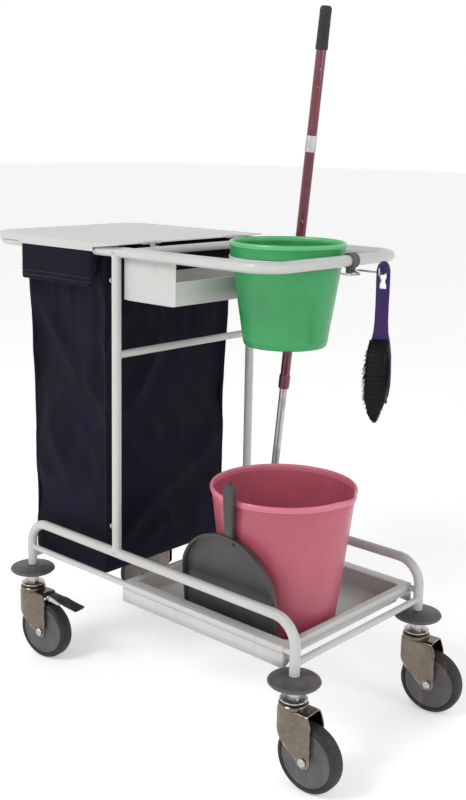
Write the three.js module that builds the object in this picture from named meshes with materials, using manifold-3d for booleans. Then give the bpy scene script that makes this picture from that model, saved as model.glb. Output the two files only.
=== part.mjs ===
// Housekeeping cart. Millimetres, +Z up, +X towards the bucket end, -Y the near long side.
import * as THREE from 'three';
import { mergeVertices } from 'three/addons/utils/BufferGeometryUtils.js';
import Module from 'manifold-3d';

const wasm = await Module();
wasm.setup();

// Base frame
const HALF_LENGTH = 365;
const HALF_WIDTH = 195;
const SIDE_TUBE_R = 10;
const SIDE_RAIL_Z = 302;
const LOW_RAIL_Z = 243;
const LOW_CROSS_Z = 225;
const WALL = 1.5;
const GAP = 0.3;

// Uprights and top rail
const UPRIGHT_X = -93;
const CROSSBAR_Z = 704;
const TOP_Z = 903;
const TOP_R = 11;
const TOP_LEFT = -475;
const TOP_RIGHT = 285;
const TOP_CORNER = 55;
const CROSS_R = 8;
const BAG_BAR_LEFT = -392;
const BAG_BAR_RIGHT = -130;
const LID_BAR_X = -62;

// Casters
const WHEEL_R = 62.5;
const WHEEL_HALF = 16;
const TRAIL = 38;
const BUMPER_R = 48;
const LEG_IN = 19.5;
const LEG_OUT = 22;

const cart = new THREE.Group();
cart.name = 'housekeeping_cart';

const paint = { color: 0xc8c8c5, roughness: 0.45, metalness: 0.3 };
const zinc = { color: 0x9a958c, roughness: 0.3, metalness: 0.9 };
const greyPlastic = { color: 0x4a4748, roughness: 0.6, metalness: 0 };
const rubber = { color: 0x231f20, roughness: 0.9, metalness: 0 };
const pedalPlastic = { color: 0x2a2828, roughness: 0.7, metalness: 0 };
const cloth = { color: 0x10101b, roughness: 0.95, metalness: 0 };
const pink = { color: 0xb4586e, roughness: 0.45, metalness: 0 };
const green = { color: 0x3fae68, roughness: 0.4, metalness: 0 };
const panGrey = { color: 0x3c3838, roughness: 0.6, metalness: 0 };
const burgundy = { color: 0x6e2337, roughness: 0.35, metalness: 0.4 };
const silver = { color: 0xb9b9bb, roughness: 0.35, metalness: 0.8 };
const black = { color: 0x1c1b1c, roughness: 0.8, metalness: 0 };
const purple = { color: 0x3c1964, roughness: 0.4, metalness: 0 };

function add(name, geometry, look) {
  const mesh = new THREE.Mesh(geometry, new THREE.MeshStandardMaterial(look));
  mesh.name = name;
  cart.add(mesh);
}

// Boolean helpers
function solid(geometry) {
  const bare = geometry.clone();
  bare.deleteAttribute('normal');
  bare.deleteAttribute('uv');
  const merged = mergeVertices(bare, 1e-4);
  const mesh = new wasm.Mesh({
    numProp: 3,
    vertProperties: new Float32Array(merged.attributes.position.array),
    triVerts: new Uint32Array(merged.index.array),
  });
  return new wasm.Manifold(mesh);
}

function toGeometry(manifold) {
  const mesh = manifold.getMesh();
  const geometry = new THREE.BufferGeometry();
  geometry.setAttribute('position', new THREE.BufferAttribute(mesh.vertProperties, 3));
  geometry.setIndex(new THREE.BufferAttribute(mesh.triVerts, 1));
  const flat = geometry.toNonIndexed();
  flat.computeVertexNormals();
  return flat;
}

function join(...geometries) {
  return toGeometry(geometries.map(solid).reduce((a, b) => a.add(b)));
}

function cut(geometry, ...tools) {
  return toGeometry(tools.map(solid).reduce((a, b) => a.subtract(b), solid(geometry)));
}

// Basic shapes
function box(x0, x1, y0, y1, z0, z1) {
  const geometry = new THREE.BoxGeometry(x1 - x0, y1 - y0, z1 - z0);
  return geometry.translate((x0 + x1) / 2, (y0 + y1) / 2, (z0 + z1) / 2);
}

// A profile of [radius, z] pairs turned about the Z axis.
function turned(profile, segments) {
  const points = profile.map(([r, z]) => new THREE.Vector2(r, z));
  return new THREE.LatheGeometry(points, segments).rotateX(Math.PI / 2);
}

function place(geometry, from, to) {
  const way = new THREE.Vector3().subVectors(to, from).normalize();
  const turn = new THREE.Quaternion().setFromUnitVectors(new THREE.Vector3(0, 0, 1), way);
  return geometry.applyQuaternion(turn).translate(from.x, from.y, from.z);
}

function rod(from, to, radius, segments = 14) {
  const length = from.distanceTo(to);
  return place(turned([[0, 0], [radius, 0], [radius, length], [0, length]], segments), from, to);
}

function pipe(from, to, radius, bore, segments = 14) {
  const h = from.distanceTo(to);
  const ring = [[bore, 0], [radius, 0], [radius, h], [bore, h], [bore, 0]];
  return place(turned(ring, segments), from, to);
}

function v(x, y, z) {
  return new THREE.Vector3(x, y, z);
}

// A path of straight runs joined by round bends, with one station at each end of every bend step.
class BentPath extends THREE.Curve {
  constructor(corners, radius, bendSteps) {
    super();
    this.points = [corners[0]];
    this.ways = [v(0, 0, 0).subVectors(corners[1], corners[0]).normalize()];
    for (let i = 1; i < corners.length - 1; i++) {
      this.bend(corners[i - 1], corners[i], corners[i + 1], radius, bendSteps);
    }
    const last = corners.length - 1;
    this.points.push(corners[last]);
    this.ways.push(v(0, 0, 0).subVectors(corners[last], corners[last - 1]).normalize());
  }

  bend(before, corner, after, radius, steps) {
    const inward = v(0, 0, 0).subVectors(corner, before).normalize();
    const outward = v(0, 0, 0).subVectors(after, corner).normalize();
    const angle = inward.angleTo(outward);
    const back = radius * Math.tan(angle / 2);
    const start = corner.clone().addScaledVector(inward, -back);
    const side = outward.clone().addScaledVector(inward, -inward.dot(outward)).normalize();
    for (let k = 0; k <= steps; k++) {
      const a = (angle * k) / steps;
      const point = start.clone().addScaledVector(inward, radius * Math.sin(a));
      point.addScaledVector(side, radius * (1 - Math.cos(a)));
      this.points.push(point);
      this.ways.push(inward.clone().multiplyScalar(Math.cos(a)).addScaledVector(side, Math.sin(a)));
    }
  }

  at(list, u) {
    return list[Math.round(u * (list.length - 1))].clone();
  }

  getPoint(t) {
    return this.at(this.points, t);
  }

  getPointAt(u) {
    return this.at(this.points, u);
  }

  getTangentAt(u) {
    return this.at(this.ways, u);
  }
}

function circle(radius, segments) {
  const points = [];
  for (let i = 0; i < segments; i++) {
    const a = (2 * Math.PI * (i + 0.5)) / segments;
    points.push(new THREE.Vector2(radius * Math.cos(a), radius * Math.sin(a)));
  }
  return points;
}

function bentTube(corners, bendRadius, radius, bore, segments = 12, bendSteps = 5) {
  const path = new BentPath(corners, bendRadius, bendSteps);
  const shape = new THREE.Shape(circle(radius, segments));
  if (bore > 0) {
    shape.holes.push(new THREE.Path(circle(bore, segments)));
  }
  const steps = path.points.length - 1;
  return new THREE.ExtrudeGeometry(shape, { steps, extrudePath: path, bevelEnabled: false });
}

// A flat outline in X and Z, given as [x, z] pairs, extruded from y0 to y1.
function plateXZ(outline, y0, y1) {
  const shape = new THREE.Shape(outline.map(([x, z]) => new THREE.Vector2(x, z)));
  const geometry = new THREE.ExtrudeGeometry(shape, { depth: y1 - y0, bevelEnabled: false });
  return geometry.rotateX(Math.PI / 2).translate(0, y1, 0);
}

// A rectangle in X and Y with rounded corners where asked, extruded from z0 to z1.
function plateXY(x0, x1, halfY, leftRadius, rightRadius, z0, z1) {
  const shape = new THREE.Shape();
  shape.moveTo(x0 + leftRadius, -halfY);
  shape.lineTo(x1 - rightRadius, -halfY);
  if (rightRadius > 0) {
    shape.absarc(x1 - rightRadius, -halfY + rightRadius, rightRadius, -Math.PI / 2, 0);
  }
  shape.lineTo(x1, halfY - rightRadius);
  if (rightRadius > 0) {
    shape.absarc(x1 - rightRadius, halfY - rightRadius, rightRadius, 0, Math.PI / 2);
  }
  shape.lineTo(x0 + leftRadius, halfY);
  if (leftRadius > 0) {
    shape.absarc(x0 + leftRadius, halfY - leftRadius, leftRadius, Math.PI / 2, Math.PI);
  }
  shape.lineTo(x0, -halfY + leftRadius);
  if (leftRadius > 0) {
    shape.absarc(x0 + leftRadius, -halfY + leftRadius, leftRadius, Math.PI, 1.5 * Math.PI);
  }
  const options = { depth: z1 - z0, bevelEnabled: false, curveSegments: 5 };
  return new THREE.ExtrudeGeometry(shape, options).translate(0, 0, z0);
}

// Side rails: one tube each, bent down at both ends to stand on the casters.
function sideRail(y) {
  const foot = 203.4;
  const corners = [
    v(-HALF_LENGTH, y, foot),
    v(-HALF_LENGTH, y, SIDE_RAIL_Z),
    v(HALF_LENGTH, y, SIDE_RAIL_Z),
    v(HALF_LENGTH, y, foot),
  ];
  return bentTube(corners, 60, SIDE_TUBE_R, SIDE_TUBE_R - WALL);
}

// Bars between the posts, under and beside the lower tray.
function lowRail(y) {
  const reach = HALF_LENGTH - SIDE_TUBE_R - 1.2;
  return rod(v(-reach, y, LOW_RAIL_Z), v(reach, y, LOW_RAIL_Z), 6, 12);
}

function lowCross(x) {
  const reach = HALF_WIDTH - SIDE_TUBE_R - GAP;
  return rod(v(x, -reach, LOW_CROSS_Z), v(x, reach, LOW_CROSS_Z), 6.5, 12);
}

// Upright, its ends cut to sit on the round side rail and under the round top rail.
function upright(y) {
  const foot = v(UPRIGHT_X, y, SIDE_RAIL_Z);
  const post = pipe(foot, v(UPRIGHT_X, y, TOP_Z), SIDE_TUBE_R, SIDE_TUBE_R - WALL, 16);
  const rail = rod(v(-200, y, SIDE_RAIL_Z), v(0, y, SIDE_RAIL_Z), SIDE_TUBE_R + GAP, 24);
  const top = rod(v(-200, y, TOP_Z), v(0, y, TOP_Z), TOP_R + GAP, 24);
  return cut(post, rail, top);
}

function uprightBolt(z) {
  const y = -HALF_WIDTH;
  const face = UPRIGHT_X - SIDE_TUBE_R - GAP;
  return rod(v(face, y, z), v(face - 7, y, z), 4.5, 10);
}

function crossbar() {
  const bar = rod(v(UPRIGHT_X, -HALF_WIDTH, CROSSBAR_Z), v(UPRIGHT_X, HALF_WIDTH, CROSSBAR_Z), 7.5, 14);
  const clear = SIDE_TUBE_R + GAP;
  const near = rod(v(UPRIGHT_X, -HALF_WIDTH, 650), v(UPRIGHT_X, -HALF_WIDTH, 760), clear, 24);
  const far = rod(v(UPRIGHT_X, HALF_WIDTH, 650), v(UPRIGHT_X, HALF_WIDTH, 760), clear, 24);
  return cut(bar, near, far);
}

// Top rail: two bent tubes whose open ends meet above the uprights.
function topRail(endX, seamX) {
  const corners = [
    v(seamX, -HALF_WIDTH, TOP_Z),
    v(endX, -HALF_WIDTH, TOP_Z),
    v(endX, HALF_WIDTH, TOP_Z),
    v(seamX, HALF_WIDTH, TOP_Z),
  ];
  return bentTube(corners, TOP_CORNER, TOP_R, TOP_R - WALL);
}

// Straight bar across the top rail, its ends cut round to meet the rail tubes.
function topBar(x) {
  const bar = rod(v(x, -HALF_WIDTH, TOP_Z), v(x, HALF_WIDTH, TOP_Z), CROSS_R, 12);
  const near = rod(v(x - 30, -HALF_WIDTH, TOP_Z), v(x + 30, -HALF_WIDTH, TOP_Z), TOP_R + GAP, 24);
  const far = rod(v(x - 30, HALF_WIDTH, TOP_Z), v(x + 30, HALF_WIDTH, TOP_Z), TOP_R + GAP, 24);
  return cut(bar, near, far);
}

// Lid: sheet over the bag half, round at the end corners, long edges folded down.
function lid() {
  const top = plateXY(-484, -76, 210.4, 64, 0, 917.4, 919);
  const nearFold = box(-374, -145, -210.4, -209, 901, 918);
  const farFold = box(-374, -145, 209, 210.4, 901, 918);
  return join(top, nearFold, farFold);
}

// Bag: open box of cloth hung inside the rail, its top edge turned out over the tubes.
function bag() {
  const t = 1.6;
  const [left, right, half] = [BAG_BAR_LEFT + 8.5, BAG_BAR_RIGHT - 8.5, 183.5];
  const [over, rim] = [915.2, 916.8];
  const body = join(
    box(left, right, -half, half, 240, rim),
    box(-374, -145, -208.3, 208.3, 828, rim),
    box(-130, -100, 206.7, 208.3, 840, rim),
    box(-374, -129, 206.7, 208.3, 840, rim),
    box(BAG_BAR_LEFT - 10.4, BAG_BAR_RIGHT + 10.4, -170, 170, 860, rim),
  );
  const nearVoid = box(-375, -144, -206.7, -half, 800, over);
  const farVoid = box(-375, -144, half, 206.7, 800, over);
  const leftVoid = box(BAG_BAR_LEFT - 8.8, left, -171, 171, 800, over);
  const rightVoid = box(right, BAG_BAR_RIGHT + 8.8, -171, 171, 800, over);
  const inside = box(left + t, right - t, -half + t, half - t, 240 + t, 1000);
  return cut(body, nearVoid, farVoid, leftVoid, rightVoid, inside);
}

// Small tray under the top rail: high side panels, low end walls.
function smallTray() {
  const half = 183.6;
  const outer = box(-84, 54, -half, half, 811, 905);
  const inner = box(-82.5, 52.5, -half + 1.5, half - 1.5, 812.5, 906);
  const lowEnds = box(-85, 55, -half + 1.5, half - 1.5, 856, 906);
  const barRoom = box(-85, LID_BAR_X + CROSS_R + GAP, -half - 1, half + 1, 893, 906);
  return cut(outer, inner, lowEnds, barRoom);
}

// Ring that carries the upper bucket, with the strip that ties it to the small tray.
function bucketRing() {
  const ring = turned([[106.2, 890], [109, 890], [109, 904], [106.2, 904], [106.2, 890]], 40);
  ring.translate(164.5, 0, 0);
  const strip = box(54.4, 56.4, -15, 15, 812, 904);
  const inside = rod(v(164.5, 0, 880), v(164.5, 0, 910), 106.2, 40);
  return join(ring, cut(strip, inside));
}

// Lower tray: a pan whose edges hook over the low rails.
function lowerTray() {
  const shell = box(-70, 345, -203, 203, 211, 251);
  const hollow = box(-52, 330, -176, 176, 216, 252);
  const sideRoom = box(-68.5, 343.5, -201.5, 201.5, 210, 249.6);
  const pan = box(-53.5, 331.5, -177.5, 177.5, 214.5, 249.6);
  const underside = cut(sideRoom, pan);
  const endTrim = box(343, 346, -180, 180, 210, 232);
  const nearRailRoom = box(-71, 346, -201.5, -187, 210, 249.6);
  const farRailRoom = box(-71, 346, 187, 201.5, 210, 249.6);
  return cut(shell, hollow, underside, endTrim, nearRailRoom, farRailRoom);
}

// Caster parts, modelled with the swivel axis on Z and the wheel trailing along +X.
function bumper() {
  const profile = [
    [8.6, 189.3], [46, 189.3], [48, 193.5], [45, 198],
    [30, 202.8], [8.6, 202.8], [8.6, 189.3],
  ];
  return turned(profile, 24);
}

function stem() {
  const profile = [
    [0, 134], [10, 134], [10, 137.5], [6, 137.5], [6, 159], [25, 159],
    [25, 162], [9.5, 163], [9.5, 189], [8, 189], [8, 240], [0, 240],
  ];
  return turned(profile, 12);
}

function legOutline() {
  return [
    [-24, 150], [-25, 126], [24, 62], [29, 52], [38, 48.5], [47, 52],
    [51, 62], [51, 118], [42, 128], [42, 149], [30, 152],
  ];
}

function fork() {
  const crown = turned([[6.4, 145], [27, 145], [27, 153], [20, 158.6], [6.4, 158.6], [6.4, 145]], 16);
  const near = plateXZ(legOutline(), -LEG_OUT, -LEG_IN);
  const far = plateXZ(legOutline(), LEG_IN, LEG_OUT);
  const roof = box(15, 42, -LEG_OUT, LEG_OUT, 145, 149);
  const hole = rod(v(TRAIL, -40, WHEEL_R), v(TRAIL, 40, WHEEL_R), 5.4, 12);
  return cut(join(crown, near, far, roof), hole);
}

// Profile of [half width, radius] turned about the wheel axle.
function wheelTurned(profile, segments) {
  const flipped = profile.map(([half, radius]) => new THREE.Vector2(radius, half));
  return new THREE.LatheGeometry(flipped, segments).translate(TRAIL, 0, WHEEL_R);
}

function wheelCore() {
  const profile = [
    [-18.8, 5.4], [-18.8, 13], [-14.5, 17], [-14.5, 51.5],
    [14.5, 51.5], [14.5, 17], [18.8, 13], [18.8, 5.4], [-18.8, 5.4],
  ];
  return wheelTurned(profile, 24);
}

function tyre() {
  const h = WHEEL_HALF;
  const profile = [
    [-h, 52], [-h, 57.5], [-11, 62.5], [11, 62.5], [h, 57.5], [h, 52], [-h, 52],
  ];
  return wheelTurned(profile, 24);
}

function axle() {
  const profile = [
    [-26, 0], [-26, 8], [-22.3, 8], [-22.3, 5],
    [22.3, 5], [22.3, 8], [26, 8], [26, 0],
  ];
  return wheelTurned(profile, 12);
}

// Foot pedal: an arm from inside the fork, widening to a pad above the tread.
function pedal() {
  const arm = [
    [44, 131], [57, 139], [80, 135], [103, 129], [132, 131],
    [134, 135], [104, 141], [70, 147], [44, 144],
  ];
  const pin = rod(v(50, -LEG_IN + GAP, 139), v(50, LEG_IN - GAP, 139), 3, 10);
  return join(plateXZ(arm, -16, 16), pin);
}

function caster(tag, x, y, heading, braked) {
  const put = (name, geometry, look) => {
    add(name, geometry.rotateZ(THREE.MathUtils.degToRad(heading)).translate(x, y, 0), look);
  };
  put(`${tag}_bumper_disc`, bumper(), greyPlastic);
  put(`${tag}_caster_stem`, stem(), zinc);
  put(`${tag}_caster_fork`, fork(), zinc);
  put(`${tag}_wheel_axle`, axle(), zinc);
  put(`${tag}_wheel_core`, wheelCore(), greyPlastic);
  put(`${tag}_wheel_tyre`, tyre(), rubber);
  if (braked) {
    put(`${tag}_brake_pedal`, pedal(), pedalPlastic);
  }
}

// Buckets: thin tapered shells with a deep rolled rim.
function bucket(baseR, baseZ, bodyR, lipZ, rimR, rimZ) {
  const t = 2.2;
  const profile = [
    [0, baseZ], [baseR, baseZ], [bodyR, lipZ], [rimR, lipZ], [rimR + 0.3, rimZ - 2], [rimR - 1, rimZ],
    [bodyR - t + 1, rimZ], [bodyR - t, lipZ], [baseR - t, baseZ + t], [0, baseZ + t],
  ];
  return turned(profile, 32);
}

function pinkBucket() {
  const geometry = bucket(104, 216.4, 135, 470, 138.5, 482);
  const position = geometry.attributes.position;
  const spout = THREE.MathUtils.degToRad(8);
  for (let i = 0; i < position.count; i++) {
    const angle = Math.atan2(position.getY(i), position.getX(i)) - spout;
    const rise = Math.max(0, (position.getZ(i) - 400) / 82);
    const swell = Math.abs(angle) < 0.42 ? 1 + 0.06 * rise * Math.cos(angle * 3.7) ** 2 : 1;
    position.setX(i, position.getX(i) * swell);
    position.setY(i, position.getY(i) * swell);
  }
  return geometry.translate(212, -50, 0);
}

// Dustpan stood on its mouth: x across, z up the pan, scoop walls towards -Y.
function panOutline(shrink, floor) {
  const half = 113 - shrink;
  const points = [[-half, floor], [half, floor]];
  for (let k = 0; k <= 12; k++) {
    const a = (Math.PI * k) / 12;
    points.push([half * Math.cos(a), 72 + (112 - shrink) * Math.sin(a)]);
  }
  return points;
}

function dustpan() {
  const shell = plateXZ(panOutline(0, 0), -14, 0);
  const scoop = plateXZ(panOutline(2.5, -5), -15, -2.5);
  const neckOutline = [
    [-10, 178], [10, 178], [11, 230], [12, 280],
    [8, 292], [-8, 292], [-12, 280], [-11, 230],
  ];
  const neck = plateXZ(neckOutline, -14, -3);
  const whole = cut(join(shell, neck), scoop);
  whole.rotateY(THREE.MathUtils.degToRad(6));
  whole.rotateX(THREE.MathUtils.degToRad(7.3));
  return whole.translate(182, -157.7, 230);
}

// Mop: everything lies on one leaning line.
const MOP_FOOT = v(10, 140, 216.6);
const MOP_WAY = v(0.1022, 0, 0.99476).normalize();

function onMop(distance) {
  return MOP_FOOT.clone().addScaledVector(MOP_WAY, distance);
}

function mopTurned(profile, segments) {
  return place(turned(profile, segments), onMop(0), onMop(1));
}

function mop() {
  const cap = [
    [0, 1.5], [11, 1.5], [13, 8], [13, 60], [10, 78], [8.4, 78], [8.4, 20], [0, 20],
  ];
  const lower = [[0, 20.4], [8, 20.4], [8, 560], [0, 560]];
  const upper = [[8.7, 398], [10, 398], [10, 1082], [8.7, 1082], [8.7, 398]];
  const band = [[10.3, 882], [10.8, 882], [10.8, 914], [10.3, 914], [10.3, 882]];
  const grip = [
    [0, 1082.4], [10.3, 1082.4], [10.3, 1076], [12, 1076],
    [12, 1100], [11.5, 1153], [9, 1157], [0, 1157],
  ];
  add('mop_foot_cap', mopTurned(cap, 16), black);
  add('mop_lower_tube', mopTurned(lower, 14), silver);
  add('mop_upper_tube', mopTurned(upper, 14), burgundy);
  add('mop_label_band', mopTurned(band, 16), silver);
  add('mop_grip', mopTurned(grip, 16), black);
}

// Hanging brush on the hook at the end of the top rail.
const HOOK_X = 357;
const HOOK_Y = 34;

// Turns brush parts, modelled with the bristles towards -X, past -Y and part of the way to +X.
const BRUSH_TURN = 113;
function turnBrush(geometry) {
  const turned = geometry.translate(-HOOK_X, -HOOK_Y, 0).rotateZ(THREE.MathUtils.degToRad(BRUSH_TURN));
  return turned.translate(HOOK_X, HOOK_Y, 0);
}

function hookClip() {
  const end = v(TOP_RIGHT, HOOK_Y + 10, TOP_Z);
  const sleeve = pipe(v(TOP_RIGHT, HOOK_Y - 10, TOP_Z), end, 14.5, TOP_R + GAP, 20);
  const lug = box(TOP_RIGHT - 6, TOP_RIGHT + 6, HOOK_Y - 8, HOOK_Y + 8, 880, 892);
  const room = rod(v(TOP_RIGHT, 0, TOP_Z), v(TOP_RIGHT, 80, TOP_Z), 12.5, 20);
  return join(sleeve, cut(lug, room));
}

function hookWire() {
  const z = 885;
  const corners = [
    v(299, -24, z),
    v(331, -24, z),
    v(331, -2, z),
    v(TOP_RIGHT + 8.6, HOOK_Y - 6, z),
    v(TOP_RIGHT + 8.6, HOOK_Y + 12, z),
    v(HOOK_X, HOOK_Y + 12, z),
    v(HOOK_X, HOOK_Y - 14, z),
    v(HOOK_X, HOOK_Y - 14, z + 12),
  ];
  return bentTube(corners, 3, 2, 0, 8, 2);
}

const BRUSH_HALF = 22;
const GRIP_HALF = 13;
const EYE_HALF = 6.5;

function brushHandle() {
  const side = [
    [352, 770], [353, 860], [351, 900], [353, 908], [359, 908], [361, 900],
    [362, 860], [362, 800], [366, 770], [368, 700], [366, 672], [358, 652], [352, 660],
  ];
  const blank = plateXZ(side, HOOK_Y - BRUSH_HALF, HOOK_Y + BRUSH_HALF);
  const nearTrim = box(340, 380, HOOK_Y - BRUSH_HALF - 3, HOOK_Y - GRIP_HALF, 780, 920);
  const farTrim = box(340, 380, HOOK_Y + GRIP_HALF, HOOK_Y + BRUSH_HALF + 3, 780, 920);
  const slot = box(340, 380, HOOK_Y - EYE_HALF, HOOK_Y + EYE_HALF, 858, 887.6);
  return turnBrush(cut(blank, nearTrim, farTrim, slot));
}

function brushBristles() {
  const side = [[351.6, 768], [328, 752], [314, 706], [313, 660], [322, 626], [331, 618], [341, 630], [351.6, 656]];
  return turnBrush(plateXZ(side, HOOK_Y - BRUSH_HALF + 1, HOOK_Y + BRUSH_HALF - 1));
}

// Assembly
add('side_rail_near', sideRail(-HALF_WIDTH), paint);
add('side_rail_far', sideRail(HALF_WIDTH), paint);
add('low_rail_near', lowRail(-HALF_WIDTH), paint);
add('low_rail_far', lowRail(HALF_WIDTH), paint);
add('low_cross_bucket_end', lowCross(HALF_LENGTH), paint);
add('low_cross_bag_end', lowCross(-HALF_LENGTH), paint);
add('upright_near', upright(-HALF_WIDTH), paint);
add('upright_far', upright(HALF_WIDTH), paint);
add('upright_bolt_upper', uprightBolt(848), zinc);
add('upright_bolt_lower', uprightBolt(356), zinc);
add('crossbar', crossbar(), paint);
add('top_rail_bag_end', topRail(TOP_LEFT, UPRIGHT_X - GAP), paint);
add('top_rail_bucket_end', topRail(TOP_RIGHT, UPRIGHT_X + GAP), paint);
add('bag_bar_end', topBar(BAG_BAR_LEFT), paint);
add('bag_bar_middle', topBar(BAG_BAR_RIGHT), paint);
add('lid_hinge_bar', topBar(LID_BAR_X), paint);
add('lid', lid(), paint);
add('laundry_bag', bag(), cloth);
add('small_tray', smallTray(), paint);
add('bucket_ring', bucketRing(), paint);
add('lower_tray', lowerTray(), paint);
caster('near_bag_end', -HALF_LENGTH, -HALF_WIDTH, 9, true);
caster('near_bucket_end', HALF_LENGTH, -HALF_WIDTH, 3, false);
caster('far_bucket_end', HALF_LENGTH, HALF_WIDTH, 7, false);
caster('far_bag_end', -HALF_LENGTH, HALF_WIDTH, 210, true);
add('green_bucket', bucket(78.6, 736, 104.4, 904.4, 109, 932).translate(164.5, 0, 0), green);
add('pink_bucket', pinkBucket(), pink);
add('dustpan', dustpan(), panGrey);
mop();
add('hook_clip', hookClip(), greyPlastic);
add('hook_wire', hookWire(), zinc);
add('brush_handle', brushHandle(), purple);
add('brush_bristles', brushBristles(), black);

// Put the middle of the footprint over the origin.
const bounds = new THREE.Box3().setFromObject(cart);
const middle = bounds.getCenter(new THREE.Vector3());
cart.children.forEach((mesh) => mesh.geometry.translate(-middle.x, -middle.y, -bounds.min.z));

export default cart;
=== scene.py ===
import math

import bmesh
import bpy
import numpy as np
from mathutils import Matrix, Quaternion, Vector, noise


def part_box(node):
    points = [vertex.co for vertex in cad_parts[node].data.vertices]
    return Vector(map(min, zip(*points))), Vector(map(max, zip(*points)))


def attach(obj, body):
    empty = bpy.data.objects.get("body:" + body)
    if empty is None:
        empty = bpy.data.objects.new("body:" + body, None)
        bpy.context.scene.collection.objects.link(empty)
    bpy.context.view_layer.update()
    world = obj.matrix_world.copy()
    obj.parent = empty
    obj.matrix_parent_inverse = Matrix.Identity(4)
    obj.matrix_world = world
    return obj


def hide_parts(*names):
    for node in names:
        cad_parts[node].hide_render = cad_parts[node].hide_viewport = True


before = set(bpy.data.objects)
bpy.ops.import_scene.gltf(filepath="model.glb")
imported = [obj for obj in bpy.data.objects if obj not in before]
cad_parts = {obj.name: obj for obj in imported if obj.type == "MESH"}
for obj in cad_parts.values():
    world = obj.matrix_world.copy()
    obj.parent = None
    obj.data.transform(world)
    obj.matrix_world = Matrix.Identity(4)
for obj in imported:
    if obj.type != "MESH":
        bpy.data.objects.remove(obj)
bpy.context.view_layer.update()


# Side rails. One steel tube on each long side, bent down at both ends to stand on the casters.
# Electric-welded tube, powder coated pale grey; the feet are plugged and bolted to the caster stems.
def span(node):
    """Lowest and highest corner of a CAD node, in millimetres from the floor under the cart's middle."""
    low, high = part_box(node)
    return (np.array(low) - MIDDLE) * 1000, (np.array(high) - MIDDLE) * 1000


MIDDLE = np.zeros(3)
RAIL_LOW, RAIL_HIGH = span("side_rail_near")
FAR_RAIL_HIGH = span("side_rail_far")[1]
MIDDLE = np.array([RAIL_LOW[0] + RAIL_HIGH[0], RAIL_LOW[1] + FAR_RAIL_HIGH[1], 0]) / 2000
TUBE_SIDES = 28
UP = np.array([0.0, 0.0, 1.0])
ALONG = np.array([1.0, 0.0, 0.0])
ACROSS = np.array([0.0, 1.0, 0.0])


def unit(way):
    return way / np.linalg.norm(way)


def rounded(corners, radius, steps=6, closed=False):
    """A path or profile with its corners turned into arcs, no larger than their neighbours leave room for."""
    corners = [np.array(c, float) for c in corners]
    count = len(corners)
    radii = radius if hasattr(radius, "__len__") else [radius] * count
    points = []
    for i, corner in enumerate(corners):
        if not closed and i in (0, count - 1):
            points.append(corner)
            continue
        before, after = corners[i - 1] - corner, corners[(i + 1) % count] - corner
        room = 0.49 * min(np.linalg.norm(before), np.linalg.norm(after))
        before, after = unit(before), unit(after)
        half = math.acos(max(-1, min(1, float(before @ after)))) / 2
        if half > 1.56 or radii[i] <= 0:
            points.append(corner)
            continue
        arc = min(radii[i], room * math.tan(half))
        centre = corner + unit(before + after) * arc / math.sin(half)
        start = corner + before * arc / math.tan(half) - centre
        end = corner + after * arc / math.tan(half) - centre
        sweep = math.pi - 2 * half
        for k in range(steps + 1):
            t = sweep * k / steps
            share = math.sin(sweep - t) / math.sin(sweep), math.sin(t) / math.sin(sweep)
            points.append(centre + start * share[0] + end * share[1])
    return points


def hoop(centre, way, flat, radius, sides):
    """A round ring square to way; flat is a direction square to the whole path."""
    turn = np.linspace(0, 2 * math.pi, sides, endpoint=False)[:, None]
    return centre + radius * (np.cos(turn) * np.cross(flat, way) + np.sin(turn) * flat)


def swept(path, flat, radius, sides=TUBE_SIDES):
    """Rings of a round tube or wire along a path that lies in the plane square to flat."""
    rings = []
    for i, point in enumerate(path):
        ways = [unit(path[k + 1] - path[k]) for k in (i - 1, i) if 0 <= k < len(path) - 1]
        way = unit(sum(ways))
        rings.append(hoop(point, way, flat, radius, sides))
    return rings


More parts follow.
